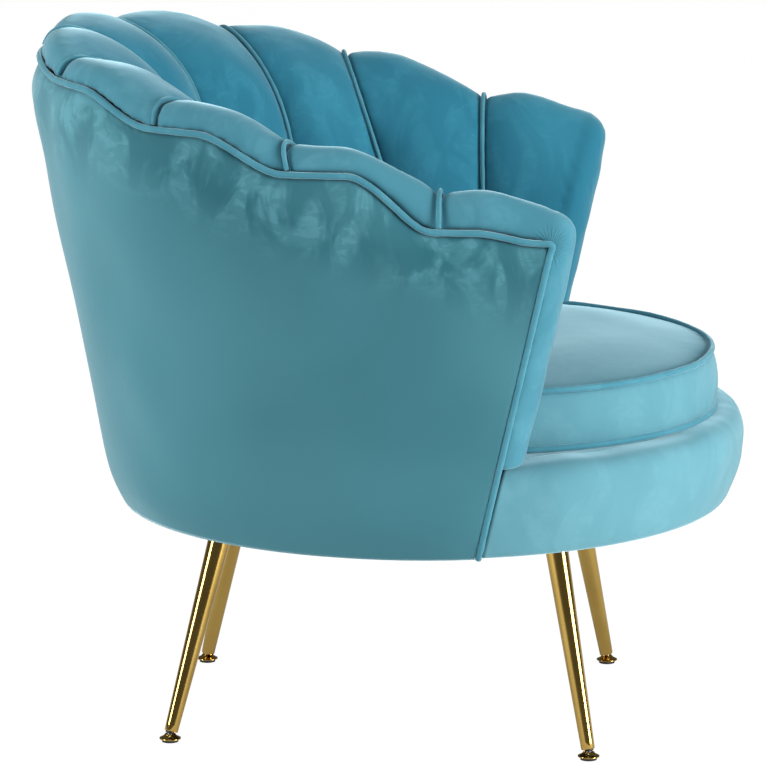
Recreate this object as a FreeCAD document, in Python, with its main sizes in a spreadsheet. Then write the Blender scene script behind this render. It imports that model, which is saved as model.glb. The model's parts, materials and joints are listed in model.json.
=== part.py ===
import FreeCAD, Part
import Sketcher
import math
import os
from FreeCAD import Vector

# Scallop back chair. +Z is up, the sitter faces -Y, and the floor is z = 0.
# Plan positions are written from the axis of the round seat base, and every
# piece is then moved by the same shift, so that the origin lies under the
# middle of the whole chair.

doc = FreeCAD.newDocument("scallop_back_chair")

# Driving sizes, in millimetres and degrees
SIZES = {
    # clearances
    "gap": 0.3,
    # round seat base
    "base_underside": 247,
    "base_widest": 355,
    "base_widest_height": 322,
    "base_foot_radius": 334,
    "base_shoulder_radius": 338,
    "deck_height": 347,
    "base_cover_wall": 2.5,
    "dust_cloth": 1,
    "board_thickness": 16,
    "board_edge": 324,
    "vent_radius": 30,
    "seat_ring_inner": 205,
    "seat_ring_outer": 250,
    "seat_ring_underside": 296,
    "block_side": 36,
    "spring_wire": 3.2,
    "spring_pitch": 30,
    "spring_width": 44,
    "spring_spacing": 66,
    "spring_overlap": 16,
    "clip_wall": 1.2,
    "clip_width": 16,
    "felt_thickness": 3,
    "deck_cloth": 2,
    "deck_reach": 304,
    "band_thickness": 4,
    "base_foam_inner": 308,
    "base_foam_start": 109,
    "front_edge_angle": 103.8,
    "front_cover_angle": 100,
    # seat cushion
    "cushion_forward": 59.5,
    "cushion_radius": 257,
    "cushion_bulge": 8,
    "cushion_side": 63,
    "cushion_crown": 12,
    "cushion_cover_wall": 2,
    "cushion_piping": 3.5,
    "cushion_piping_out": 2.5,
    "cushion_piping_up": 3.6,
    "cushion_piping_low_out": 5.9,
    "piping_radius": 3.5,
    # plan of the rim and of the seat well
    "rim_setback": 65.7,
    "rim_radius": 323,
    "arm_length": 231,
    "well_forward": 44.5,
    "well_radius": 286,
    "well_arm": 58.6,
    # petals, counted from the middle of the back to the arm
    "petal_1_width": 149.2,
    "petal_2_width": 164.1,
    "petal_3_width": 141.3,
    "petal_4_width": 161.4,
    "rim_height_0": 762,
    "rim_height_1": 750,
    "rim_height_2": 726,
    "rim_height_3": 692,
    "rim_height_4": 644.5,
    "rim_height_5": 620,
    "piping_height_0": 736,
    "piping_height_1": 727,
    "piping_height_2": 697,
    "piping_height_3": 660,
    "piping_height_4": 602,
    "piping_height_5": 592,
    "petal_rise": 15,
    "petal_crown": 20,
    "arm_crown": 14,
    "roll_outward": 4,
    "roll_depth_back": 100,
    "roll_depth_arm": 38,
    "roll_height": 82,
    "roll_reach": 31,
    "pad_thickness": 24,
    "welt_radius": 2.5,
    # back frame and outside cover
    "rail_height": 30,
    "rail_drop": 45,
    "rail_reach": 15,
    "rail_inward": 34,
    "post_width": 36,
    "post_depth": 16,
    "panel_thickness": 3,
    "cover_wall": 4,
    "cover_swell": 18.5,
    "cover_tuck": 50,
    "cover_line_height": 290,
    "cover_line_radius": 352,
    "arm_nose": 27,
    # legs
    "foot_front_side": 208.5,
    "foot_front_forward": 196,
    "foot_rear_side": 174.8,
    "foot_rear_back": 263.8,
    "leg_front_side": 162.5,
    "leg_front_forward": 154,
    "leg_rear_side": 110,
    "leg_rear_back": 208,
    "leg_low_radius": 7.5,
    "leg_top_radius": 13,
    "leg_wall": 1.2,
    "leg_end_height": 11,
    "plate_radius": 38,
    "plate_thickness": 3,
    "screw_circle": 27,
    "screw_radius": 3,
    "screw_head_radius": 5.5,
    "screw_head_height": 3.4,
    "nut_radius": 4,
    "nut_flange_radius": 9,
    "nut_flange_thickness": 1.5,
    "screw_hole_play": 0.3,
    # levelling feet
    "pad_radius": 9,
    "pad_height": 3,
    "shell_radius": 11.8,
    "shell_rim": 1.3,
    "shell_neck_radius": 5.8,
    "ball_radius": 3.6,
    "ball_height": 7,
    "ball_play": 0.06,
    "socket_mouth": 1.9,
    "neck_radius": 2.2,
    "neck_length": 4.2,
    "stem_radius": 3.9,
    "stem_length": 22,
    "stem_play": 0.05,
    "insert_length": 16,
}

sheet = doc.addObject("Spreadsheet::Sheet", "sizes")
for row, (alias, number) in enumerate(SIZES.items(), start=1):
    sheet.set("A%d" % row, alias.replace("_", " "))
    sheet.set("B%d" % row, str(number))
    sheet.setAlias("B%d" % row, alias)
doc.recompute()


class Size:
    """A length that keeps its number and the formula that gives it."""

    def __init__(self, number, formula):
        self.number = float(number)
        self.formula = formula

    def __float__(self):
        return self.number

    def __neg__(self):
        return Size(-self.number, "(-%s)" % self.formula)

    def __add__(self, other):
        other = as_size(other)
        return Size(self.number + other.number, "(%s + %s)" % (self.formula, other.formula))

    def __radd__(self, other):
        return as_size(other) + self

    def __sub__(self, other):
        other = as_size(other)
        return Size(self.number - other.number, "(%s - %s)" % (self.formula, other.formula))

    def __rsub__(self, other):
        return as_size(other) - self

    def __mul__(self, other):
        other = as_size(other)
        return Size(self.number * other.number, "(%s * %s)" % (self.formula, other.formula))

    def __rmul__(self, other):
        return as_size(other) * self

    def __truediv__(self, other):
        other = as_size(other)
        return Size(self.number / other.number, "(%s / %s)" % (self.formula, other.formula))


def as_size(value):
    if isinstance(value, Size):
        return value
    return Size(value, repr(float(value)))


class Sizes:
    """The sheet's values by name, such as sizes.rim_radius."""


sizes = Sizes()
for alias in SIZES:
    setattr(sizes, alias, Size(sheet.get(alias), "sizes." + alias))

RIM_HEIGHTS = [getattr(sizes, "rim_height_%d" % k) for k in range(6)]
PIPING_HEIGHTS = [getattr(sizes, "piping_height_%d" % k) for k in range(6)]
PETAL_WIDTHS = [getattr(sizes, "petal_%d_width" % k) for k in range(1, 5)]
CORNERS = ("front_left", "front_right", "rear_left", "rear_right")
SIDES = (("right", -1), ("left", 1))

parts = {}


def keep(name, feature):
    """Name a finished piece; it is written out under this name."""
    feature.Label = name
    parts[name] = feature
    return feature


def bind(feature, **formulas):
    """Tie a feature's properties to sizes, where __ in a name stands for a dot."""
    for key, size in formulas.items():
        feature.setExpression(key.replace("__", "."), as_size(size).formula)
    return feature


def primitive(kind, name, x=0, y=0, z=0, **formulas):
    """Add a Part primitive with its sizes and its place tied to the sheet."""
    feature = doc.addObject("Part::" + kind, name)
    bind(feature, **formulas)
    bind(feature, Placement__Base__x=x, Placement__Base__y=y, Placement__Base__z=z)
    return feature


def cylinder(name, radius, height, x=0, y=0, z=0):
    return primitive("Cylinder", name, x, y, z, Radius=radius, Height=height)


def cut(name, base, tool):
    feature = doc.addObject("Part::Cut", name)
    feature.Base = base
    feature.Tool = tool
    return feature


def fuse(name, pieces):
    feature = doc.addObject("Part::MultiFuse", name)
    feature.Shapes = pieces
    return feature


def common(name, first, second):
    feature = doc.addObject("Part::Common", name)
    feature.Base = first
    feature.Tool = second
    return feature


def group(name, pieces):
    """Hold separate solids together as one group, such as a set of screws."""
    feature = doc.addObject("Part::Compound", name)
    feature.Links = pieces
    return feature


def solid_feature(name, shape):
    """Put a shape made with Part's own functions into the document."""
    feature = doc.addObject("Part::Feature", name)
    feature.Shape = shape
    return keep(name, feature)


def origin_plane(body, role):
    return next(item for item in body.Origin.OriginFeatures if item.Role == role)


def arc_centre(start, end, radius):
    """Centre of the arc from start to end; a positive radius turns to the left."""
    half = (end - start) * 0.5
    reach = math.sqrt(max(radius * radius - half.Length ** 2, 0.0))
    left = Vector(-half.y, half.x, 0).normalize()
    return start + half + left * math.copysign(reach, radius)


def outline_sketch(body, name, role, outline):
    """Draw a closed outline of (across, up) or (across, up, radius of the edge that ends here)."""
    sketch = body.newObject("Sketcher::SketchObject", name)
    sketch.AttachmentSupport = [(origin_plane(body, role), "")]
    sketch.MapMode = "FlatFace"
    points = [Vector(float(item[0]), float(item[1]), 0) for item in outline]
    ends = []
    for index, item in enumerate(outline):
        start, end = points[index - 1], points[index]
        if len(item) == 2:
            edge = sketch.addGeometry(Part.LineSegment(start, end), False)
            ends.append((edge, 1, 2))
            continue
        radius = float(item[2])
        centre = arc_centre(start, end, radius)
        first, last = (start, end) if radius > 0 else (end, start)
        angles = [math.atan2(spot.y - centre.y, spot.x - centre.x) for spot in (first, last)]
        circle = Part.Circle(centre, Vector(0, 0, 1), abs(radius))
        edge = sketch.addGeometry(Part.ArcOfCircle(circle, angles[0], angles[1]), False)
        ends.append((edge, 1, 2) if radius > 0 else (edge, 2, 1))
    for index, item in enumerate(outline):
        edge, start, end = ends[index]
        following, following_start, _ = ends[(index + 1) % len(ends)]
        sketch.addConstraint(Sketcher.Constraint("Coincident", edge, end, following, following_start))
        for kind, size in (("DistanceX", item[0]), ("DistanceY", item[1])):
            row = sketch.addConstraint(Sketcher.Constraint(kind, -1, 1, edge, end, float(size)))
            sketch.setExpression("Constraints[%d]" % row, as_size(size).formula)
        if len(item) == 3:
            size = item[2] if float(item[2]) > 0 else -as_size(item[2])
            row = sketch.addConstraint(Sketcher.Constraint("Radius", edge, float(size)))
            sketch.setExpression("Constraints[%d]" % row, as_size(size).formula)
    return sketch


def turned(name, outline, angle=360):
    """Turn an outline about the vertical axis; a part turn is centred on the front."""
    body = doc.addObject("PartDesign::Body", name)
    full = angle == 360
    sketch = outline_sketch(body, name + "_outline", "XZ_Plane" if full else "YZ_Plane", outline)
    turn = body.newObject("PartDesign::Revolution", name + "_turn")
    turn.Profile = sketch
    turn.ReferenceAxis = (sketch, ["V_Axis"])
    if full:
        turn.Angle = 360
    else:
        turn.Midplane = True
        bind(turn, Angle=angle)
        body.Placement.Rotation = FreeCAD.Rotation(Vector(0, 0, 1), 180)
    return body


def place(feature, x=0, y=0, z=0):
    return bind(feature, Placement__Base__x=x, Placement__Base__y=y, Placement__Base__z=z)


# Round seat base

base_cover_outline = [
    (sizes.base_foam_inner, sizes.deck_height),
    (sizes.base_shoulder_radius, sizes.deck_height),
    (sizes.base_widest, sizes.base_widest_height, -24),
    (sizes.base_foot_radius, sizes.base_underside, -160),
    (sizes.board_edge + 1, sizes.base_underside),
    (sizes.board_edge + 1, sizes.base_underside + sizes.base_cover_wall),
    (sizes.base_foot_radius - sizes.base_cover_wall, sizes.base_underside + sizes.base_cover_wall),
    (sizes.base_widest - sizes.base_cover_wall, sizes.base_widest_height, 160),
    (sizes.base_shoulder_radius, sizes.deck_height - sizes.base_cover_wall, 21.5),
    (sizes.base_foam_inner, sizes.deck_height - sizes.base_cover_wall),
]
cover_turn = 360 - 2 * sizes.front_cover_angle
base_cover_body = turned("base_cover_body", base_cover_outline, cover_turn)

board_low = sizes.base_underside + sizes.dust_cloth + sizes.gap
board_top = board_low + sizes.board_thickness
foam_turn = 360 - 2 * sizes.base_foam_start
foam_skin = sizes.base_cover_wall + sizes.gap
base_foam_outline = [
    (sizes.base_foam_inner, board_top),
    (sizes.base_foot_radius + 2, board_top),
    (sizes.base_widest - foam_skin, sizes.base_widest_height, 150),
    (sizes.base_shoulder_radius, sizes.deck_height - foam_skin, 21),
    (sizes.base_foam_inner, sizes.deck_height - foam_skin),
]
keep("base_foam", turned("base_foam_body", base_foam_outline, foam_turn))

band_outer = sizes.base_foam_inner - sizes.gap
band_outline = [
    (band_outer - sizes.band_thickness, board_top),
    (band_outer, board_top),
    (band_outer, sizes.deck_height - foam_skin),
    (band_outer - sizes.band_thickness, sizes.deck_height - foam_skin),
]
keep("front_band", turned("front_band_body", band_outline, foam_turn))

# Where each leg's plate sits, and where its foot stands: (across, along)
LEG_TOPS = {
    "front_left": (sizes.leg_front_side, -sizes.leg_front_forward),
    "front_right": (-sizes.leg_front_side, -sizes.leg_front_forward),
    "rear_left": (sizes.leg_rear_side, sizes.leg_rear_back),
    "rear_right": (-sizes.leg_rear_side, sizes.leg_rear_back),
}
LEG_FEET = {
    "front_left": (sizes.foot_front_side, -sizes.foot_front_forward),
    "front_right": (-sizes.foot_front_side, -sizes.foot_front_forward),
    "rear_left": (sizes.foot_rear_side, sizes.foot_rear_back),
    "rear_right": (-sizes.foot_rear_side, sizes.foot_rear_back),
}
SCREW_TURNS = ((1, 0), (0, 1), (-1, 0), (0, -1))


def screw_spots():
    """Centre of every leg screw, four round each leg."""
    for corner in CORNERS:
        across, along = LEG_TOPS[corner]
        for number, (right, back) in enumerate(SCREW_TURNS):
            yield ("%s_%d" % (corner, number), across + right * sizes.screw_circle, along + back * sizes.screw_circle)


def drilled(name, disc, radius, low, height):
    """Drill a disc at every leg screw."""
    holes = [cylinder("%s_hole_%s" % (name, spot), radius, height, x, y, low) for spot, x, y in screw_spots()]
    return cut(name + "_drilled", disc, fuse(name + "_holes", holes))


through = sizes.screw_radius + sizes.screw_hole_play
board_disc = cylinder("board_disc", sizes.board_edge, sizes.board_thickness, z=board_low)
vent = cylinder("board_vent", sizes.vent_radius, sizes.board_thickness, z=board_low)
board_blank = cut("board_blank", board_disc, vent)
nut_hole = sizes.nut_radius + sizes.gap / 2
keep("bottom_board", drilled("board", board_blank, nut_hole, board_low, sizes.board_thickness))

dust_disc = cylinder("dust_disc", sizes.board_edge, sizes.dust_cloth, z=sizes.base_underside)
keep("dust_cover", drilled("dust", dust_disc, through, sizes.base_underside, sizes.dust_cloth))

well_y = -sizes.well_forward
ring_disc = cylinder("ring_disc", sizes.seat_ring_outer, sizes.board_thickness, y=well_y, z=sizes.seat_ring_underside)
ring_hole = cylinder("ring_hole", sizes.seat_ring_inner, sizes.board_thickness, y=well_y, z=sizes.seat_ring_underside)
keep("seat_ring", cut("seat_ring_body", ring_disc, ring_hole))

block_circle = (sizes.seat_ring_inner + sizes.seat_ring_outer) / 2
blocks = []
for number in range(6):
    turn = math.radians(60 * number)
    blocks.append(primitive(
        "Box", "ring_block_%d" % number,
        block_circle * math.cos(turn) - sizes.block_side / 2,
        well_y + block_circle * math.sin(turn) - sizes.block_side / 2,
        board_top,
        Length=sizes.block_side, Width=sizes.block_side,
        Height=sizes.seat_ring_underside - board_top,
    ))
keep("seat_ring_blocks", group("ring_blocks", blocks))

spring_low = sizes.seat_ring_underside + sizes.board_thickness
SPRING_ROWS = (-2, -1, 0, 1, 2)


def spring_reach(row):
    """Half the length of a seat spring, from the ring's chord under it and its overlap."""
    across = row * float(sizes.spring_spacing)
    return math.sqrt(float(sizes.seat_ring_inner) ** 2 - across ** 2) + float(sizes.spring_overlap)


def zigzag(row):
    """One seat spring: a wire that swings from side to side along the seat."""
    middle = row * float(sizes.spring_spacing)
    wire = float(sizes.spring_wire)
    swing = float(sizes.spring_width) / 2 - wire
    reach = spring_reach(row)
    count = 2 * int(reach / float(sizes.spring_pitch)) + 1
    step = 2 * (reach - wire) / count
    flat = 0.3 * step
    line = []
    for number in range(count + 1):
        along = -reach + wire + number * step
        side = swing if number % 2 else -swing
        line.append(Vector(middle + side, along - flat / 2, 0))
        line.append(Vector(middle + side, along + flat / 2, 0))
    directions = [(after - before).normalize() for before, after in zip(line, line[1:])]
    left, right = [], []
    for number, spot in enumerate(line):
        before = directions[max(number - 1, 0)]
        after = directions[min(number, len(directions) - 1)]
        mitre = (Vector(-before.y, before.x, 0) + Vector(-after.y, after.x, 0)).normalize()
        offset = wire / 2 / mitre.dot(Vector(-after.y, after.x, 0))
        left.append(spot + mitre * offset)
        right.append(spot - mitre * offset)
    outline = Part.makePolygon(left + right[::-1] + left[:1])
    spring = Part.Face(outline).extrude(Vector(0, 0, wire))
    spring.translate(Vector(0, float(well_y), float(spring_low)))
    return spring


solid_feature("seat_springs", Part.makeCompound([zigzag(row) for row in SPRING_ROWS]))


def spring_clip(row, end):
    """A bent strip over a spring's end: a roof over the wire and a leg down to the ring."""
    wall = float(sizes.clip_wall)
    width = float(sizes.clip_width)
    roof = float(sizes.spring_wire + sizes.gap)
    reach = spring_reach(row) + float(sizes.gap)
    outline = [(0, 0), (wall, 0), (wall, roof + wall), (-10, roof + wall), (-10, roof), (0, roof)]
    middle = row * float(sizes.spring_spacing) - width / 2
    points = [
        Vector(middle, float(well_y) + end * (reach + along), float(spring_low) + up) for along, up in outline
    ]
    return Part.Face(Part.makePolygon(points + points[:1])).extrude(Vector(width, 0, 0))


solid_feature("spring_clips", Part.makeCompound([spring_clip(row, end) for row in SPRING_ROWS for end in (-1, 1)]))

felt_low = spring_low + sizes.spring_wire + sizes.clip_wall + 2 * sizes.gap
keep("spring_felt", cylinder("felt_disc", sizes.seat_ring_outer, sizes.felt_thickness, y=well_y, z=felt_low))
foam_low = felt_low + sizes.felt_thickness + sizes.gap
cloth_low = sizes.deck_height - sizes.deck_cloth
foam_height = cloth_low - sizes.gap - foam_low


def deck_layer(name, inset, height, low):
    """Layer of the seat deck, bounded by the round base in front and by the back's posts behind."""
    front = cylinder(name + "_front", sizes.base_foam_inner - sizes.gap - inset, height, z=low)
    behind = cylinder(name + "_behind", sizes.deck_reach - inset, height, y=well_y, z=low)
    return keep(name, common(name + "_layer", front, behind))


deck_layer("deck_foam", sizes.band_thickness + sizes.gap, foam_height, foam_low)
deck_layer("deck_cloth", as_size(0), sizes.deck_cloth, cloth_low)

# Seat cushion: a boxed round, crowned on top, its side swelling between the two pipings
cushion_y = -sizes.cushion_forward
cushion_low = sizes.deck_height + sizes.gap
cushion_high = cushion_low + sizes.cushion_side


def cushion_outline(inset):
    """Half section of the cushion, drawn in by an inset."""
    edge = sizes.cushion_radius - inset
    low = cushion_low + inset
    high = cushion_high - inset
    half = float(high - low) / 2
    swell = float(sizes.cushion_bulge)
    side_radius = (half ** 2 + swell ** 2) / (2 * swell)
    crown = float(sizes.cushion_crown)
    top_radius = (float(edge) ** 2 + crown ** 2) / (2 * crown)
    return [
        (0, low),
        (edge, low),
        (edge, high, side_radius),
        (0, high + sizes.cushion_crown, top_radius),
    ]


outer_cushion = turned("cushion_outside", cushion_outline(as_size(0)))
inner_cushion = turned("cushion_inside", cushion_outline(sizes.cushion_cover_wall))
keep("cushion_cover", cut("cushion_shell", outer_cushion, inner_cushion))
keep("cushion_foam", turned("cushion_filling", cushion_outline(sizes.cushion_cover_wall + sizes.gap)))
place(parts["cushion_cover"], y=cushion_y)
place(parts["cushion_foam"], y=cushion_y)



def cushion_piping(name, outward, height):
    ring = primitive("Torus", name + "_ring", y=cushion_y, z=height,
                     Radius1=sizes.cushion_radius + outward, Radius2=sizes.cushion_piping)
    return keep(name, ring)


cushion_piping("cushion_piping_top", sizes.cushion_piping_out, cushion_high + sizes.cushion_piping_up)
cushion_piping("cushion_piping_bottom", sizes.cushion_piping_low_out, cushion_low + sizes.cushion_piping)


# Back and arms
#
# A station is one upright slice through the shell, at a count of petals from the
# middle of the back: 0 there, 5 at the front edge of the arm. In it a place is
# given by how far it lies outside the rim's top line, and by its height.

PETALS = 5
CROWN_POWER = 2.2
QUARTER = float(sizes.rim_radius) * math.pi / 2
SEAM_REACHES = [0.0]
for width in PETAL_WIDTHS:
    SEAM_REACHES.append(SEAM_REACHES[-1] + float(width))
SEAM_REACHES.append(QUARTER + float(sizes.arm_length))


def between(values, count):
    """Value at a count of petals, in a straight line from seam to seam."""
    index = min(int(count), len(values) - 2)
    part = count - index
    return float(values[index]) * (1 - part) + float(values[index + 1]) * part


def crown(count):
    """Fullness across a petal: 0 at its seams, 1 at its middle."""
    part = count - min(int(count), PETALS - 1)
    return 1 - abs(2 * part - 1) ** CROWN_POWER


def piping_height(count):
    """The rim piping runs level under each petal and steps down before the next seam."""
    count = min(max(count, 0), PETALS)
    index = min(int(count), PETALS - 1)
    part = min(max((count - index - 0.35) / 0.6, 0.0), 1.0)
    ease = part * part * (3 - 2 * part)
    return float(PIPING_HEIGHTS[index]) * (1 - ease) + float(PIPING_HEIGHTS[index + 1]) * ease


def reach_per_petal(count):
    index = min(int(count), PETALS - 1)
    return SEAM_REACHES[index + 1] - SEAM_REACHES[index]


class Station:
    def __init__(self, count, fullness=None):
        self.full = crown(count) if fullness is None else fullness
        reach = between(SEAM_REACHES, count)
        angle = min(reach, QUARTER) / float(sizes.rim_radius)
        arm = max(reach - QUARTER, 0.0)
        self.outward = Vector(math.sin(angle), math.cos(angle), 0)
        self.forward = Vector(math.cos(angle), -math.sin(angle), 0)
        rim = float(sizes.rim_radius)
        self.rim = self.outward * rim + Vector(0, float(sizes.rim_setback) - arm, 0)
        well_arm = float(sizes.well_arm) * (arm / float(sizes.arm_length)) ** 3
        well = self.outward * float(sizes.well_radius) + Vector(0, -float(sizes.well_forward) - well_arm, 0)
        self.well_out = (well - self.rim).dot(self.outward)
        self.lean = (well - self.rim).dot(self.forward)
        self.valley = between(RIM_HEIGHTS, count)
        self.top = self.valley + float(sizes.petal_rise) * self.full
        self.piping = piping_height(count)
        self.depth = between(ROLL_DEPTHS, count)
        self.plump = between(CROWNS, count) * self.full
        self.rail_in = -min(float(sizes.rail_inward), self.depth - float(sizes.pad_thickness) - 2)
        slope = max(abs(piping_height(count + step) - self.piping) for step in (-0.05, 0.05)) \
            / (0.05 * reach_per_petal(count))
        self.piping_half = float(sizes.piping_radius) * math.sqrt(1 + slope ** 2) + 1.5 * float(sizes.gap)
        self.rail_top = self.valley - float(sizes.rail_drop)
        self.rail_low = self.rail_top - float(sizes.rail_height)
        self.drum_angle = math.radians(float(sizes.front_edge_angle)) * reach / SEAM_REACHES[-1]

    def at(self, outward, height):
        """Point of the slice; the slice leans forward or back on its way down to the deck."""
        drop = (self.top - height) / (self.top - float(sizes.deck_height))
        spot = self.rim + self.outward * outward + self.forward * (self.lean * drop)
        return Vector(spot.x, spot.y, height)

    def cover_plane(self, height):
        """Point at a height on the straight line from the drum's foot to the rim piping."""
        foot = float(sizes.base_foot_radius)
        low = Vector(foot * math.sin(self.drum_angle), foot * math.cos(self.drum_angle), float(sizes.base_underside))
        high = self.at(float(sizes.roll_reach), self.piping)
        return low + (high - low) * ((height - low.z) / (high.z - low.z))

    def on_drum(self, radius, height):
        """Point of the cover's slice at a radius from the axis of the round base."""
        spot = self.cover_plane(height)
        reach = spot.x * self.outward.x + spot.y * self.outward.y
        across = spot.x ** 2 + spot.y ** 2 - radius ** 2
        return spot + self.outward * (math.sqrt(reach ** 2 - across) - reach)

    def cover_at(self, height, inset=0.0):
        """Point of the straight line that the outside cover follows, from the drum to the rim."""
        low = self.on_drum(float(sizes.cover_line_radius) - inset, float(sizes.cover_line_height))
        high = self.cover_plane(self.piping) + self.outward * (float(sizes.cover_swell) - inset)
        return low + (high - low) * ((height - low.z) / (high.z - low.z))

    def cover_reach(self, height):
        """How far the outside cover lies outside the rim's top line."""
        return (self.cover_at(height) - self.at(0, height)).dot(self.outward)

    def pad_back(self, height, inset=0.0):
        """Point of the line at the back of the pad, from the rail down to the deck."""
        gap = float(sizes.gap)
        high = self.at(self.rail_in - float(sizes.panel_thickness) - 2 * gap + inset, self.rail_top + gap)
        low = self.at(self.well_out + float(sizes.pad_thickness) + inset, float(sizes.deck_height) + gap)
        return low + (high - low) * ((height - low.z) / (high.z - low.z))


ROLL_DEPTHS = [sizes.roll_depth_back] * 3 + [(sizes.roll_depth_back + sizes.roll_depth_arm) / 2] \
    + [sizes.roll_depth_arm] * 2
CROWNS = [sizes.petal_crown] * 3 + [sizes.arm_crown] * 3


def mirrored(point):
    return Vector(-point.x, point.y, point.z)


def outline_wire(points, arcs=()):
    """Closed wire through points in order; an index in arcs is the middle of an arc."""
    edges = []
    index = 0
    while index < len(points):
        if (index + 1) in arcs:
            last = points[(index + 2) % len(points)]
            edges.append(Part.Arc(points[index], points[index + 1], last).toShape())
            index += 2
        else:
            edges.append(Part.LineSegment(points[index], points[(index + 1) % len(points)]).toShape())
            index += 1
    return Part.Wire(edges)


def skinned(wires):
    """Closed solid with ruled faces from each wire to the next."""
    solid = Part.makeLoft(wires, True, True)
    return solid if solid.Volume > 0 else solid.reversed()


def all_round(section, counts):
    """Skin sections from the left front edge round the back to the right front edge."""
    left = [section(Station(count), lambda point: point) for count in reversed(counts)]
    right = [section(Station(count), mirrored) for count in counts[1:]]
    return skinned(left + right)


def petal_points(station):
    """The pad from the deck up the inside, over the rim and down to the piping."""
    gap = float(sizes.gap)
    full = station.full
    lip = station.piping + station.piping_half
    reach = float(sizes.roll_reach)
    out = float(sizes.roll_outward) * full
    depth = -station.depth - station.plump
    knee = station.top - float(sizes.roll_height)
    deck = float(sizes.deck_height) + gap
    foot = station.at(station.well_out - float(sizes.arm_crown) * full, deck)
    return [
        station.at(reach, lip),
        station.at(reach * 0.8 + out, lip + 0.68 * (station.top - lip)),
        station.at(0, station.top),
        station.at(depth * 0.62, station.top - 0.36 * float(sizes.roll_height)),
        station.at(depth, knee),
        foot,
        station.pad_back(deck),
        station.pad_back(station.rail_top + gap),
        station.at(float(sizes.rail_reach) + gap, station.rail_top + gap),
        station.at(float(sizes.rail_reach) + gap, lip),
    ]


PETAL_PARTS = (0, 0.1, 0.27, 0.5, 0.73, 0.9, 1)
for side, hand in SIDES:
    for number in range(PETALS):
        stations = [Station(number + part, crown(part)) for part in PETAL_PARTS]
        shape = skinned([outline_wire(petal_points(station), arcs=(1, 3)) for station in stations])
        if hand < 0:
            shape = shape.mirror(Vector(0, 0, 0), Vector(1, 0, 0))
        solid_feature("petal_%s_%d" % (side, number + 1), shape)

ROUND_COUNTS = [number + part for number in range(PETALS) for part in PETAL_PARTS[:-1]] + [PETALS]


def rail_section(station, turn):
    low, high = station.rail_low, station.rail_top
    behind = float(sizes.panel_thickness) + 2 * float(sizes.gap)
    reach = float(sizes.rail_reach)
    points = [station.pad_back(low, behind), station.at(reach, low), station.at(reach, high),
              station.pad_back(high, behind)]
    return outline_wire([turn(point) for point in points])


def board_section(station, turn):
    """Thin board behind the pads, on the posts and the rail."""
    gap = float(sizes.gap)
    wall = float(sizes.panel_thickness)
    low, high = float(sizes.deck_height) + gap, station.rail_top + gap
    points = [station.pad_back(low, gap), station.pad_back(high, gap),
              station.pad_back(high, gap + wall), station.pad_back(low, gap + wall)]
    return outline_wire([turn(point) for point in points])


def cover_section(station, turn):
    """Padded outside cover: straight up from the drum, fuller near the rim, tucked in at the piping."""
    wall = float(sizes.cover_wall)
    foot, low = float(sizes.base_foot_radius), float(sizes.base_underside)
    line = float(sizes.cover_line_height)
    high = station.piping - station.piping_half
    tuck = float(sizes.cover_tuck)
    shoulder = station.cover_at(high - tuck)
    middle = station.cover_at(high - tuck / 2) - station.outward * (0.23 * float(sizes.cover_swell))
    points = [
        station.on_drum(foot, low),
        station.on_drum((foot + float(sizes.cover_line_radius)) / 2 + 2, (low + line) / 2),
        station.cover_at(line),
        shoulder,
        middle,
        station.cover_plane(high),
        station.cover_plane(high) - station.outward * wall,
        station.cover_at(line, wall),
        station.on_drum(foot - wall, low),
    ]
    return outline_wire([turn(point) for point in points], arcs=(1, 4))


def outer_board_section(station, turn):
    """Thin stiff board just inside the outside cover."""
    gap, wall = float(sizes.gap), float(sizes.panel_thickness)
    foot, low = float(sizes.base_foot_radius) - float(sizes.cover_wall) - gap, float(sizes.base_underside) + 2
    line = float(sizes.cover_line_height)
    inset = float(sizes.cover_wall) + gap
    high = station.piping - station.piping_half
    points = [
        station.on_drum(foot, low),
        station.cover_at(line, inset),
        station.cover_plane(high) - station.outward * inset,
        station.cover_plane(high) - station.outward * (inset + wall),
        station.cover_at(line, inset + wall),
        station.on_drum(foot - wall, low),
    ]
    return outline_wire([turn(point) for point in points])


top_rail = all_round(rail_section, ROUND_COUNTS)
solid_feature("top_rail", top_rail)
solid_feature("inner_board", all_round(board_section, ROUND_COUNTS))
solid_feature("outer_board", all_round(outer_board_section, ROUND_COUNTS))
solid_feature("back_cover", all_round(cover_section, ROUND_COUNTS))


def post(count, hand):
    """Upright from the bottom board up to the underside of the rail, just behind the inner board."""
    station = Station(count, 0.0)
    gap, wide = float(sizes.gap), float(sizes.post_width) / 2
    behind = float(sizes.panel_thickness) + 3 * gap
    wires = []
    for height in (float(board_top), float(sizes.deck_height), station.rail_low + float(sizes.rail_height) / 2):
        inner = station.pad_back(height, behind)
        if height < float(sizes.deck_height):
            inner = inner - station.outward * 8
        depth = station.outward * float(sizes.post_depth)
        along = station.forward * wide
        wires.append(outline_wire([inner - along, inner + along, inner + along + depth, inner - along + depth]))
    shape = skinned(wires)
    if hand < 0:
        shape = shape.mirror(Vector(0, 0, 0), Vector(1, 0, 0))
    return max(shape.cut(top_rail).Solids, key=lambda solid: solid.Volume)


POST_COUNTS = (1.2, 2, 3, 4, 4.5)
posts = [post(0, 1)] + [post(count, hand) for count in POST_COUNTS for _, hand in SIDES]
solid_feature("back_posts", Part.makeCompound(posts))


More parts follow.
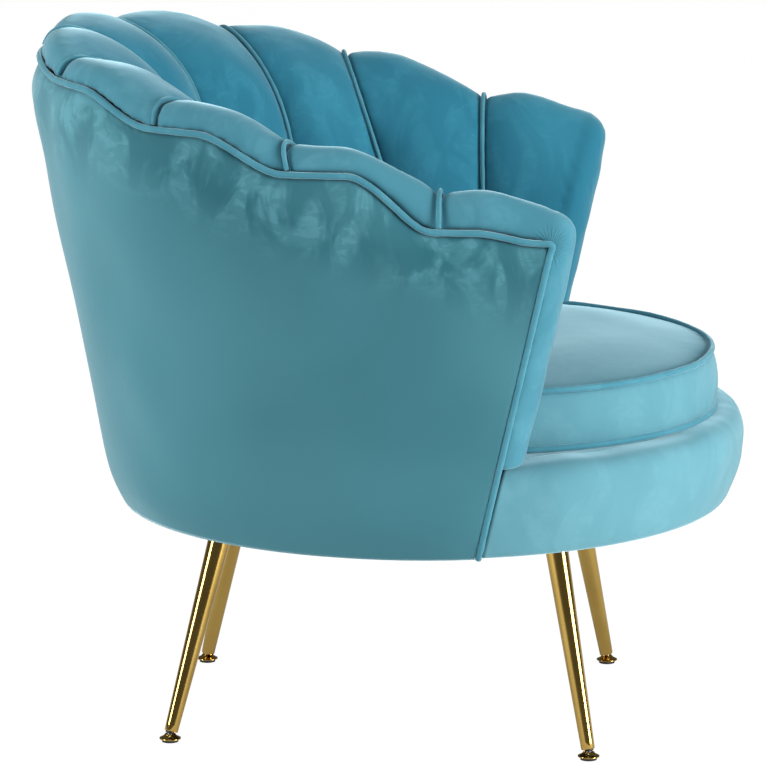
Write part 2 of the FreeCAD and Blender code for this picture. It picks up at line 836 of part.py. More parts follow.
def tube(path, radius, sides=10):
    """Round cord along a path of points, as a ruled skin through many-sided rings."""
    wires = []
    for number, spot in enumerate(path):
        before = path[max(number - 1, 0)]
        after = path[min(number + 1, len(path) - 1)]
        ahead = (after - before).normalize()
        across = ahead.cross(tube.reference).normalize()
        upward = across.cross(ahead).normalize()
        ring = []
        for side in range(sides):
            turn = 2 * math.pi * side / sides
            ring.append(spot + across * (radius * math.cos(turn)) + upward * (radius * math.sin(turn)))
        wires.append(Part.makePolygon(ring + ring[:1]))
    return skinned(wires)


tube.reference = Vector(0, 0, 1)


def rim_piping_path():
    right = [Station(count).at(float(sizes.roll_reach) + 1, Station(count).piping) for count in ROUND_COUNTS]
    return [mirrored(point) for point in reversed(right)] + right[1:]


solid_feature("rim_piping", tube(rim_piping_path(), float(sizes.piping_radius)))


def front_edge_path():
    """Down the front edge of the cover: beside the arm roll, then over the drum to its underside."""
    station = Station(PETALS)
    radius = float(sizes.piping_radius)
    ahead = radius + float(sizes.gap)
    sunk = station.outward * 2
    forward = Vector(0, -ahead, 0)
    high = station.piping - 3 * radius
    tuck = float(sizes.cover_tuck)
    line = float(sizes.cover_line_height)
    spots = [
        station.at(float(sizes.roll_reach) + 1, station.piping) + forward,
        station.at(float(sizes.roll_reach) + 4, station.piping - 10) + forward,
        station.cover_at(high - 0.5 * tuck) + forward - station.outward * 7,
        station.cover_at(high - tuck) + forward - sunk,
        station.cover_at(high - 2.4 * tuck) + forward - sunk,
        station.cover_at(line + 60) + forward - sunk,
        station.cover_at(line + 10) + forward - sunk,
        station.on_drum(float(sizes.cover_line_radius) - 5, line - 24) + forward,
        station.on_drum(float(sizes.base_foot_radius) - 1, float(sizes.base_underside) - 1) + forward,
    ]
    return spots


edge = Station(PETALS)
edge_clear = 2 * float(sizes.piping_radius) + 2 * float(sizes.gap)
edge_low, edge_high = float(sizes.base_underside) - 10, float(sizes.deck_height) + 10
edge_wide = float(sizes.base_widest) + 20
behind_edge = Part.Face(Part.makePolygon([
    Vector(-edge_wide, edge.cover_plane(edge_low).y - edge_clear, edge_low),
    Vector(-edge_wide, edge.cover_plane(edge_high).y - edge_clear, edge_high),
    Vector(-edge_wide, edge_wide, edge_high),
    Vector(-edge_wide, edge_wide, edge_low),
    Vector(-edge_wide, edge.cover_plane(edge_low).y - edge_clear, edge_low),
])).extrude(Vector(2 * edge_wide, 0, 0))
edge_tool = doc.addObject("Part::Feature", "behind_front_edge")
edge_tool.Shape = behind_edge
keep("base_cover", cut("base_cover_trimmed", base_cover_body, edge_tool))

tube.reference = Vector(1, 0, 0)
for side, hand in SIDES:
    path = front_edge_path()
    if hand < 0:
        path = [mirrored(point) for point in path]
    solid_feature("front_piping_" + side, tube(path, float(sizes.piping_radius)))


# How far each welt stands off its seam, in gaps: more where the petals beside it are steeper
WELT_GAPS = (3.1, 4, 4.6, 6.2, 6)


def welt(count, hand):
    """Narrow welt that lies in the seam between two petals."""
    station = Station(count, 0.0)
    radius = float(sizes.welt_radius)
    proud = radius + WELT_GAPS[count] * float(sizes.gap)
    seam = petal_points(station)
    over = [Part.Arc(*seam[0:3]).toShape(), Part.Arc(*seam[2:5]).toShape()]
    line = over[0].discretize(Number=7)[1:] + over[1].discretize(Number=9)[1:]
    line.append(station.at(station.well_out, float(sizes.deck_height) + 30))
    plane = (line[0] - line[3]).cross(line[6] - line[3]).normalize()
    path = []
    for number, spot in enumerate(line):
        ahead = (line[min(number + 1, len(line) - 1)] - line[max(number - 1, 0)]).normalize()
        away = ahead.cross(plane).normalize()
        if away.dot(spot - seam[7]) < 0:
            away = -away
        path.append(spot + away * proud)
    if hand < 0:
        path = [mirrored(point) for point in path]
    tube.reference = station.forward if hand > 0 else mirrored(station.forward)
    return tube(path, radius, 8)


welts = [welt(0, 1)] + [welt(count, hand) for count in range(1, PETALS) for _, hand in SIDES]
solid_feature("petal_welts", Part.makeCompound(welts))


def arm_roll():
    """Padded roll down the arm's front edge: half-round slices that shrink to a dome at the top."""
    station = Station(PETALS, 0.0)
    gap = float(sizes.gap)
    nose, knee = float(sizes.arm_nose), station.top - float(sizes.roll_height)
    depth = station.depth
    dome = station.top - knee
    wires = []
    for part in (0.0, 0.35, 0.7, 1.0, 1.4, 1.7, 1.88, 1.97):
        if part <= 1:
            height = float(sizes.deck_height) + gap + (knee - float(sizes.deck_height)) * part
            rise = 0.0
        else:
            rise = part - 1
            height = knee + dome * rise
        round_in = (1 - rise ** 1.7) ** (1 / 1.7)
        round_out = (1 - rise ** 4) ** 0.5
        inner = station.well_out + (-depth - station.well_out) * min(part, 1.0)
        inner = inner * round_in
        outer = min(float(sizes.roll_reach), station.cover_reach(height)) - 2 * float(sizes.piping_radius)
        ahead = nose * (1 - rise ** 2.4) ** 0.5
        left = station.at(inner, height) + station.forward * gap
        right = station.at(outer * round_out, height) + station.forward * gap
        tip = (left + right) * 0.5 + station.forward * ahead
        wires.append(Part.Wire([Part.Arc(left, tip, right).toShape(), Part.LineSegment(right, left).toShape()]))
    return skinned(wires)


for side, hand in SIDES:
    shape = arm_roll()
    if hand < 0:
        shape = shape.mirror(Vector(0, 0, 0), Vector(1, 0, 0))
    solid_feature("arm_roll_" + side, shape)


# Legs and levelling feet

leg_top = sizes.base_underside - sizes.plate_thickness
plate_outline = [
    (0, leg_top), (sizes.plate_radius, leg_top), (sizes.plate_radius, sizes.base_underside),
    (0, sizes.base_underside),
]


def ring_at(name, radius, x, y, z):
    return primitive("Circle", name, x, y, z, Radius=radius)


def leaning(name, corner, low_radius, low, high_radius, high):
    """Leaning taper between two level rings on the leg's line."""
    rings = []
    for end, radius, height in (("low", low_radius, low), ("high", high_radius, high)):
        x, y = leg_line(corner, height)
        rings.append(ring_at("%s_%s" % (name, end), radius, x, y, height))
    loft = doc.addObject("Part::Loft", name)
    loft.Sections = rings
    loft.Solid = True
    loft.Ruled = True
    return loft


def leg_line(corner, height):
    """Plan position of the leg's axis at a height."""
    top_x, top_y = LEG_TOPS[corner]
    foot_x, foot_y = LEG_FEET[corner]
    part = (as_size(height) - sizes.ball_height) / (leg_top - sizes.ball_height)
    return foot_x + (top_x - foot_x) * part, foot_y + (top_y - foot_y) * part


def leg_direction(corner):
    top_x, top_y = LEG_TOPS[corner]
    foot_x, foot_y = LEG_FEET[corner]
    rise = float(leg_top - sizes.ball_height)
    return Vector(float(top_x - foot_x), float(top_y - foot_y), rise).normalize()


def aimed(feature, corner, distance=0.0):
    """Stand a feature on the leg's line, at a distance up it from the foot's ball."""
    foot_x, foot_y = LEG_FEET[corner]
    direction = leg_direction(corner)
    base = Vector(float(foot_x), float(foot_y), float(sizes.ball_height)) + direction * float(distance)
    feature.Placement = FreeCAD.Placement(base, FreeCAD.Rotation(Vector(0, 0, 1), direction))
    return feature


def rod(name, corner, radius, length, distance):
    feature = doc.addObject("Part::Cylinder", name)
    bind(feature, Radius=radius, Height=length)
    return aimed(feature, corner, distance)


leg_rise = leg_top - sizes.leg_end_height
screws, nuts, inserts = [], [], []
for corner in CORNERS:
    foot_x, foot_y = LEG_FEET[corner]
    top_x, top_y = LEG_TOPS[corner]

    outside = leaning("leg_outside_" + corner, corner, sizes.leg_low_radius, sizes.leg_end_height,
                      sizes.leg_top_radius, leg_top)
    inside = leaning("leg_inside_" + corner, corner, sizes.leg_low_radius - sizes.leg_wall,
                     sizes.leg_end_height, sizes.leg_top_radius - sizes.leg_wall, leg_top)
    keep("leg_" + corner, cut("leg_wall_" + corner, outside, inside))

    plate_disc = cylinder("plate_disc_" + corner, sizes.plate_radius, sizes.plate_thickness, top_x, top_y, leg_top)
    plate_holes = []
    for number, (right, back) in enumerate(SCREW_TURNS):
        x = top_x + right * sizes.screw_circle
        y = top_y + back * sizes.screw_circle
        spot = "%s_%d" % (corner, number)
        plate_holes.append(cylinder("plate_hole_" + spot, through, sizes.plate_thickness, x, y, leg_top))
        shank_low = leg_top - sizes.screw_head_height
        shank = cylinder("shank_" + spot, sizes.screw_radius, board_top - shank_low, x, y, shank_low)
        head = cylinder("head_" + spot, sizes.screw_head_radius, sizes.screw_head_height, x, y, shank_low)
        screws.append(fuse("screw_" + spot, [shank, head]))
        barrel_height = sizes.board_thickness - 2
        barrel = cylinder("barrel_" + spot, sizes.nut_radius, barrel_height + sizes.nut_flange_thickness, x, y,
                          board_top - barrel_height)
        flange = cylinder("flange_" + spot, sizes.nut_flange_radius, sizes.nut_flange_thickness, x, y, board_top)
        bore = cylinder("bore_" + spot, sizes.screw_radius + 0.1,
                        barrel_height + sizes.nut_flange_thickness, x, y, board_top - barrel_height)
        nuts.append(cut("nut_" + spot, fuse("nut_body_" + spot, [barrel, flange]), bore))
    keep("leg_plate_" + corner, cut("plate_" + corner, plate_disc, fuse("plate_drilling_" + corner, plate_holes)))

    insert_high = sizes.leg_end_height + sizes.insert_length
    taper = (sizes.leg_top_radius - sizes.leg_low_radius) / leg_rise
    insert_radius = sizes.leg_low_radius - sizes.leg_wall - 0.05
    blank = leaning("insert_blank_" + corner, corner, insert_radius, sizes.leg_end_height,
                    insert_radius + taper * sizes.insert_length, insert_high)
    thread = rod("insert_thread_" + corner, corner, sizes.stem_radius + sizes.stem_play, 2 * sizes.insert_length, 0)
    inserts.append(cut("insert_" + corner, blank, thread))

    ball = doc.addObject("Part::Sphere", "ball_" + corner)
    bind(ball, Radius=sizes.ball_radius)
    place(ball, foot_x, foot_y, sizes.ball_height)
    neck = rod("neck_" + corner, corner, sizes.neck_radius, sizes.neck_length + 1, 0)
    screw = rod("stem_screw_" + corner, corner, sizes.stem_radius, sizes.stem_length, sizes.neck_length)
    keep("foot_stem_" + corner, fuse("stem_" + corner, [ball, neck, screw]))

    shell_high = sizes.ball_height + sizes.socket_mouth
    shell_outline = [
        (0, sizes.pad_height),
        (sizes.shell_radius, sizes.pad_height),
        (sizes.shell_radius, sizes.pad_height + sizes.shell_rim),
        (sizes.shell_neck_radius, shell_high),
        (0, shell_high),
    ]
    shell = turned("shell_turned_" + corner, shell_outline)
    place(shell, foot_x, foot_y)
    socket = doc.addObject("Part::Sphere", "socket_" + corner)
    bind(socket, Radius=sizes.ball_radius + sizes.ball_play)
    place(socket, foot_x, foot_y, sizes.ball_height)
    keep("foot_shell_" + corner, cut("shell_" + corner, shell, socket))
    keep("foot_pad_" + corner, cylinder("glide_" + corner, sizes.pad_radius, sizes.pad_height, foot_x, foot_y))

keep("leg_screws", group("screw_set", screws))
keep("tee_nuts", group("nut_set", nuts))
keep("leg_inserts", group("insert_set", inserts))


# Centre the whole chair on its origin, then check and write every piece

doc.recompute()
low_y = min(feature.Shape.optimalBoundingBox(True, False).YMin for feature in parts.values())
high_y = max(feature.Shape.optimalBoundingBox(True, False).YMax for feature in parts.values())
shift = Vector(0, -(low_y + high_y) / 2, 0)

problems = []
for item in doc.Objects:
    if "Invalid" in item.State or "Error" in item.State:
        problems.append("%s: %s" % (item.Name, item.State))
for name, feature in parts.items():
    shape = feature.Shape
    if shape.isNull() or not shape.isValid() or shape.Volume <= 0:
        problems.append("%s: bad shape" % name)
if problems:
    raise RuntimeError("; ".join(problems))

os.makedirs("parts", exist_ok=True)
for name, feature in parts.items():
    placed = feature.Shape.copy()
    placed.translate(shift)
    placed.exportStep("parts/%s.step" % name)
print(len(parts), "pieces, moved by %.3f along Y" % shift.y)
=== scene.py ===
import bmesh
import bpy
import json
import math
import numpy as np
from mathutils import Matrix, Vector


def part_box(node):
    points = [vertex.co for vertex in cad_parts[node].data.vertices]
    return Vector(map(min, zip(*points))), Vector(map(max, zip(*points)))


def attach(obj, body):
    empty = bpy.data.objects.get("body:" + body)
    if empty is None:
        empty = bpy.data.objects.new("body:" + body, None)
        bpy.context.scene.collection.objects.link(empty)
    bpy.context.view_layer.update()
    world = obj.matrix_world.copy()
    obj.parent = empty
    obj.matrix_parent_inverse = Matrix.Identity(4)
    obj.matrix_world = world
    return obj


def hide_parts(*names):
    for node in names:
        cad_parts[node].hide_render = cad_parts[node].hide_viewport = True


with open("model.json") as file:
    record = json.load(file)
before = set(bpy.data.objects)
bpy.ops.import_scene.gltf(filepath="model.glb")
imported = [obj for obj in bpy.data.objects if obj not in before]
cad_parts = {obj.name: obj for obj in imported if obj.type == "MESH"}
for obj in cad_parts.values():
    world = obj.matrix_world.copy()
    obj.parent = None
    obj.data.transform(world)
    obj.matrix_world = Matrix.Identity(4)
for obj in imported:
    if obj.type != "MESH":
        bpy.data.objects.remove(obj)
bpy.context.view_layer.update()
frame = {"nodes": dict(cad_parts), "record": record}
nodes = frame["nodes"]
MM = 0.001

# The chair's own sizes, in millimetres, measured from the axis of the round seat base
BASE_UNDERSIDE, DECK = 247.0, 347.0
RIM_SETBACK, RIM_RADIUS, ARM_LENGTH = 65.7, 323.0, 231.0
WELL_FORWARD, WELL_RADIUS, WELL_ARM = 44.5, 286.0, 58.6
QUARTER = RIM_RADIUS * math.pi / 2
SEAMS = np.array([0.0, 149.2, 313.3, 454.6, 616.0, QUARTER + ARM_LENGTH])
RIM_HEIGHTS = np.array([762, 750, 726, 692, 644.5, 620.0])
PIPING_HEIGHTS = np.array([736, 727, 697, 660, 602, 592.0])
ROLL_DEPTHS = np.array([100, 100, 100, 69, 38, 38.0])
CROWNS = np.array([20, 20, 20, 14, 14, 14.0])
PETAL_RISE, ARM_CROWN, ROLL_OUT, ROLL_HEIGHT, ROLL_REACH = 15.0, 14.0, 4.0, 82.0, 31.0
PAD, RAIL_REACH, RAIL_INWARD, RAIL_DROP, BOARD = 24.0, 15.0, 34.0, 45.0, 3.0
PIPING, WELT, GAP = 3.5, 2.5, 0.3
FOOT_RADIUS, LINE_RADIUS, LINE_HEIGHT, SWELL, TUCK = 334.0, 352.0, 290.0, 18.5, 50.0
EDGE_ANGLE = math.radians(103.8)
CUSHION_FORWARD, CUSHION_RADIUS, CUSHION_LOW, CUSHION_HIGH = 59.5, 257.0, 347.3, 410.3
ARM_NOSE, END_FULL, LIP_ON_PIPING = 27.0, 0.75, 1.4
low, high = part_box("bottom_board")
SHIFT = 1000 * (low[1] + high[1]) / 2
FORWARD = np.array([0.0, -1.0, 0.0])


# Shapes
class Slices:
    """Upright slices through the back at counts of petals from its middle, as whole arrays."""

    def __init__(self, count, full):
        count, full = np.broadcast_arrays(np.asarray(count, float), np.asarray(full, float))
        self.count, self.full = count, full
        self.reach = np.interp(count, np.arange(6), SEAMS)
        angle = np.minimum(self.reach, QUARTER) / RIM_RADIUS
        arm = np.maximum(self.reach - QUARTER, 0)
        sin, cos, zero = np.sin(angle), np.cos(angle), np.zeros_like(angle)
        self.out = np.stack([sin, cos, zero], -1)
        self.ahead = np.stack([cos, -sin, zero], -1)
        self.rim = self.out * RIM_RADIUS + np.stack([zero, RIM_SETBACK - arm, zero], -1)
        well_y = -WELL_FORWARD - WELL_ARM * (arm / ARM_LENGTH) ** 3
        well = self.out * WELL_RADIUS + np.stack([zero, well_y, zero], -1) - self.rim
        self.well = (well * self.out).sum(-1)
        self.lean = (well * self.ahead).sum(-1)
        self.valley = np.interp(count, np.arange(6), RIM_HEIGHTS)
        self.top = self.valley + PETAL_RISE * full - 6.0 * np.clip((count - 4.6) / 0.4, 0, 1) ** 2
        self.depth = np.interp(count, np.arange(6), ROLL_DEPTHS)
        self.plump = np.interp(count, np.arange(6), CROWNS) * full
        index = np.clip(count.astype(int), 0, 4)
        part = np.clip((count - index - 0.35) / 0.6, 0, 1)
        ease = part * part * (3 - 2 * part)
        self.piping = PIPING_HEIGHTS[index] * (1 - ease) + PIPING_HEIGHTS[index + 1] * ease
        self.drum = EDGE_ANGLE * self.reach / SEAMS[-1]
        self.rail_in = -np.minimum(RAIL_INWARD, self.depth - PAD - 2)
        self.rail_top = self.valley - RAIL_DROP

    def at(self, out, height):
        """The rim's point, moved outward and along the slice's lean, at a height."""
        out, height = np.broadcast_arrays(out, height)
        drop = (self.top - height) / (self.top - DECK)
        spot = self.rim + self.out * out[..., None] + self.ahead * (self.lean * drop)[..., None]
        spot[..., 2] = height
        return spot

    def cover_plane(self, height):
        """Straight from the drum's foot up to the rim piping."""
        foot = np.stack([FOOT_RADIUS * np.sin(self.drum), FOOT_RADIUS * np.cos(self.drum),
                         np.full_like(self.drum, BASE_UNDERSIDE)], -1)
        tip = self.at(ROLL_REACH, self.piping)
        part = (height - BASE_UNDERSIDE) / (tip[..., 2] - BASE_UNDERSIDE)
        return foot + (tip - foot) * part[..., None]

    def on_drum(self, radius, height):
        """The slice's point that lies on a circle round the base's axis."""
        spot = self.cover_plane(height)
        along = (spot * self.out).sum(-1)
        beyond = spot[..., 0] ** 2 + spot[..., 1] ** 2 - radius ** 2
        return spot + self.out * (np.sqrt(along ** 2 - beyond) - along)[..., None]

    def cover_at(self, height, inset=0.0):
        """Straight from the drum's line up to the swell outside the rim piping."""
        start = self.on_drum(LINE_RADIUS - inset, LINE_HEIGHT + 0 * height)
        end = self.cover_plane(self.piping) + self.out * (SWELL - inset)
        part = (height - LINE_HEIGHT) / (end[..., 2] - LINE_HEIGHT)
        return start + (end - start) * part[..., None]

    def pad_back(self, height):
        """Straight line at the back of the pads, from the deck up to the rail."""
        tip = self.at(self.rail_in - BOARD - 2 * GAP, self.rail_top + GAP)
        foot = self.at(self.well + PAD, DECK + GAP + 0 * self.well)
        part = (height - foot[..., 2]) / (tip[..., 2] - foot[..., 2])
        return foot + (tip - foot) * part[..., None]


def crown(part, power=2.2):
    """One less the distance from the middle, raised to a power: 0 at the seams, 1 between them."""
    return 1 - np.abs(2 * part - 1) ** power


def fullness(count):
    """Fullness of the petals; the last one keeps most of it where it turns into the arm's front."""
    number = np.clip(np.asarray(count).astype(int), 0, 4)
    part = count - number
    full = crown(part)
    return np.where((number == 4) & (part > 0.5), END_FULL + (1 - END_FULL) * full, full)


def arc_through(a, b, c, count):
    """Points on the circle through three points of a plane, by equal steps of its angle."""
    d = 2 * (a[..., 0] * (b[..., 1] - c[..., 1]) + b[..., 0] * (c[..., 1] - a[..., 1])
             + c[..., 0] * (a[..., 1] - b[..., 1]))
    sa, sb, sc = (a ** 2).sum(-1), (b ** 2).sum(-1), (c ** 2).sum(-1)
    x = (sa * (b[..., 1] - c[..., 1]) + sb * (c[..., 1] - a[..., 1]) + sc * (a[..., 1] - b[..., 1])) / d
    y = (sa * (c[..., 0] - b[..., 0]) + sb * (a[..., 0] - c[..., 0]) + sc * (b[..., 0] - a[..., 0])) / d
    centre = np.stack([x, y], -1)
    radius = np.sqrt(((a - centre) ** 2).sum(-1))
    turn = [np.arctan2(p[..., 1] - y, p[..., 0] - x) for p in (a, b, c)]
    way = np.sign(np.sin(turn[1] - turn[0]))
    full_turn = np.mod((turn[2] - turn[0]) * way, 2 * np.pi) * way
    steps = turn[0][..., None] + full_turn[..., None] * np.linspace(0, 1, count)
    return centre[..., None, :] + radius[..., None, None] * np.stack([np.cos(steps), np.sin(steps)], -1)


def line_between(a, b, count):
    """Points in equal steps from one end to the other."""
    steps = np.linspace(0, 1, count)[:, None]
    return a[..., None, :] + (b - a)[..., None, :] * steps


def softened(line, rounds):
    """Each point becomes a quarter of both neighbours and half of itself, the ends staying put."""
    for _ in range(rounds):
        line = line.copy()
        line[..., 1:-1, :] = (line[..., :-2, :] + 2 * line[..., 1:-1, :] + line[..., 2:, :]) / 4
    return line


def respaced(line, count):
    """Points at equal lengths along each line of points."""
    flat = line.reshape(-1, line.shape[-2], line.shape[-1])
    wanted = np.linspace(0, 1, count)
    result = np.empty((len(flat), count, line.shape[-1]))
    for row, points in enumerate(flat):
        length = np.concatenate([[0], np.cumsum(np.linalg.norm(np.diff(points, axis=0), axis=1))])
        for axis in range(line.shape[-1]):
            result[row, :, axis] = np.interp(wanted * length[-1], length, points[:, axis])
    return result.reshape(line.shape[:-2] + (count, line.shape[-1]))


def grid_normals(grid):
    """Cross product of the differences along both ways of a grid."""
    normal = np.cross(np.gradient(grid, axis=0), np.gradient(grid, axis=1))
    return normal / np.maximum(np.linalg.norm(normal, axis=-1, keepdims=True), 1e-9)


def ripple(p, q, seed, low, high, waves=14):
    """Sum of sine waves in seeded directions and lengths, between about -1 and 1."""
    draw = np.random.RandomState(seed)
    total = 0
    for _ in range(waves):
        turn = draw.uniform(0, math.pi)
        length = math.exp(draw.uniform(math.log(low), math.log(high)))
        phase = draw.uniform(0, 2 * math.pi)
        total = total + np.sin(2 * math.pi * (p * math.cos(turn) + q * math.sin(turn)) / length + phase)
    return total / math.sqrt(waves)


# Meshes
def mesh_from(name, grid, round_u=False, round_v=False, cap_u=(False, False)):
    """A grid of points as a mesh of quads; a capped end gets a fan to its middle."""
    rows, columns = grid.shape[:2]
    index = np.arange(rows * columns).reshape(rows, columns)
    across = np.vstack([index, index[:1]]) if round_u else index
    across = np.hstack([across, across[:, :1]]) if round_v else across
    quads = np.stack([across[:-1, :-1], across[1:, :-1], across[1:, 1:], across[:-1, 1:]], -1)
    faces = quads.reshape(-1, 4).tolist()
    points = grid.reshape(-1, 3).tolist()
    for end, wanted in zip((0, -1), cap_u):
        if wanted:
            ring = across[end]
            points.append(grid[end].mean(0).tolist())
            hub = len(points) - 1
            fan = np.stack([ring[:-1], ring[1:], np.full(len(ring) - 1, hub)], -1)
            faces += (fan if end == 0 else fan[:, ::-1]).tolist()
    mesh = bpy.data.meshes.new(name)
    mesh.from_pydata((np.array(points) * MM + np.array([0, SHIFT * MM, 0])).tolist(), [], faces)
    mesh.polygons.foreach_set("use_smooth", np.ones(len(mesh.polygons), bool))
    mesh.update()
    return mesh


def outward(mesh):
    """Turn the faces outwards where the closed mesh's volume comes out negative."""
    points = corners_of(mesh)
    mesh.calc_loop_triangles()
    corners = np.empty(len(mesh.loop_triangles) * 3, int)
    mesh.loop_triangles.foreach_get("vertices", corners)
    a, b, c = (points[corners.reshape(-1, 3)[:, k]] for k in range(3))
    if (np.cross(a, b) * c).sum() < 0:
        mesh.flip_normals()
    return mesh


# Stuffing: held and free distances from a seam in millimetres, and frames of the simulation
SEWN_REACH, FREE_FROM, FREE_OVER, STUFFING_STEPS = 5.5, 4.0, 20.0, 20


def stuffed(mesh, held, voxel, cap):
    """One even skin, blown up by a cloth simulation between the points where it is sewn or glued.

    No point moves further than the cap, and a point near the held ones keeps its place."""
    thing = bpy.data.objects.new("stuffed", mesh)
    bpy.context.scene.collection.objects.link(thing)
    even = thing.modifiers.new("even", "REMESH")
    even.mode, even.voxel_size, even.use_smooth_shade = "VOXEL", voxel * MM, True
    calm = thing.modifiers.new("calm", "SMOOTH")
    calm.factor, calm.iterations = 0.5, 3
    thing.data = bpy.data.meshes.new_from_object(thing.evaluated_get(bpy.context.evaluated_depsgraph_get()))
    thing.modifiers.clear()
    start = corners_of(thing.data)
    sewn = held * MM + np.array([0, SHIFT * MM, 0])
    nearest = nearest_distance(start, sewn)
    group = thing.vertex_groups.new(name="sewn")
    group.add(np.flatnonzero(nearest < SEWN_REACH * MM).tolist(), 1.0, "REPLACE")
    cloth = thing.modifiers.new("stuffing", "CLOTH")
    cloth.settings.quality, cloth.settings.mass = 3, 0.1
    cloth.settings.tension_stiffness = cloth.settings.compression_stiffness = 5
    cloth.settings.shear_stiffness, cloth.settings.bending_stiffness = 2, 0.1
    cloth.settings.use_pressure, cloth.settings.uniform_pressure_force = True, 4.0
    cloth.settings.vertex_group_mass = "sewn"
    cloth.settings.effector_weights.gravity = 0.0
    cloth.collision_settings.use_collision = False
    cloth.point_cache.frame_start, cloth.point_cache.frame_end = 1, STUFFING_STEPS
    for step in range(1, STUFFING_STEPS + 1):
        bpy.context.scene.frame_set(step)
    blown = corners_of(thing.evaluated_get(bpy.context.evaluated_depsgraph_get()).data)
    move = blown - start
    distance = np.linalg.norm(move, axis=1, keepdims=True)
    limit = cap * MM * np.clip((nearest[:, None] / MM - FREE_FROM) / FREE_OVER, 0, 1)
    move *= np.tanh(distance / np.maximum(limit, 1e-9)) * limit / np.maximum(distance, 1e-9)
    thing.modifiers.clear()
    thing.data.vertices.foreach_set("co", (start + move).ravel())
    bpy.context.scene.frame_set(1)
    result = thing.data
    bpy.data.objects.remove(thing)
    result.name = mesh.name
    bpy.data.meshes.remove(mesh)
    return result


def corners_of(mesh):
    """The mesh's points as rows of three coordinates."""
    points = np.empty(len(mesh.vertices) * 3)
    mesh.vertices.foreach_get("co", points)
    return points.reshape(-1, 3)


def nearest_distance(points, others):
    """Distance from every point to the nearest of the others, some hundred others at a time."""
    best = np.full(len(points), np.inf)
    for start in range(0, len(others), 300):
        some = others[start:start + 300]
        square = (points ** 2).sum(1)[:, None] - 2 * points @ some.T + (some ** 2).sum(1)[None]
        best = np.minimum(best, square.min(1))
    return np.sqrt(np.maximum(best, 0))


def piece(name, mesh, material, body, replaced=(), levels=0):
    """A named object with its finish, body and replaced solids, and, where levels are given, a subdivision
    modifier.
    """
    thing = bpy.data.objects.new(name, outward(mesh))
    bpy.context.scene.collection.objects.link(thing)
    thing.data.materials.append(material)
    if levels:
        finer = thing.modifiers.new("finer", "SUBSURF")
        finer.levels = finer.render_levels = levels
    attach(thing, body)
    if replaced:
        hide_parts(*replaced)
    return thing


def mirrored(grid):
    """The same points on the other side of the chair."""
    return grid * np.array([-1, 1, 1])


def cord_grid(path, radius, side, sides=12, wobble=0.0, seed=0):
    """A ring of points round each point of a path, set square to it from a sideways direction."""
    ahead = np.gradient(path, axis=0)
    ahead /= np.linalg.norm(ahead, axis=1, keepdims=True)
    across = np.broadcast_to(side, path.shape)
    across = across - ahead * (across * ahead).sum(1, keepdims=True)
    across /= np.linalg.norm(across, axis=1, keepdims=True)
    other = np.cross(across, ahead)
    turn = np.linspace(0, 2 * np.pi, sides, endpoint=False)
    length = np.concatenate([[0], np.cumsum(np.linalg.norm(np.diff(path, axis=0), axis=1))])
    swell = 1 + wobble * ripple(length[:, None], 9 * turn[None, :], seed, 9, 40)
    ring = across[:, None] * np.cos(turn)[None, :, None] + other[:, None] * np.sin(turn)[None, :, None]
    return path[:, None] + ring * (radius * swell)[..., None]


def cord_piece(name, path, radius, side, replaced, wobble=0.03, seed=0, sides=12):
    grid = cord_grid(path, radius, side, sides, wobble, seed)
    mesh = mesh_from(name, grid, round_v=True, cap_u=(True, True))
    return piece(name, mesh, VELVET_PIPING, "chair_frame", replaced)


# Finishes
class Value:
    """A socket in a material, with sums written as Python sums."""

    def __init__(self, finish, socket):
        self.finish, self.socket = finish, socket

    def _maths(self, operation, a, b=None, clamp=False):
        values = {0: a} if b is None else {0: a, 1: b}
        return self.finish.node("ShaderNodeMath", {"operation": operation, "use_clamp": clamp}, values)[0]

    def __add__(self, other):
        return self._maths("ADD", self, other)

    def __sub__(self, other):
        return self._maths("SUBTRACT", self, other)

    def __mul__(self, other):
        return self._maths("MULTIPLY", self, other)

    def __truediv__(self, other):
        return self._maths("DIVIDE", self, other)

    def __pow__(self, other):
        return self._maths("POWER", self, other)

    def __rsub__(self, other):
        return self._maths("SUBTRACT", other, self)

    __radd__ = __add__
    __rmul__ = __mul__

    def clamped(self):
        return self._maths("ADD", self, 0.0, clamp=True)

    def highest(self, other):
        return self._maths("MAXIMUM", self, other)

    def step(self, start, end):
        """0 below start, 1 above end, smooth between."""
        settings = {"interpolation_type": "SMOOTHSTEP"}
        values = {"Value": self, "From Min": start, "From Max": end}
        return self.finish.node("ShaderNodeMapRange", settings, values)[0]


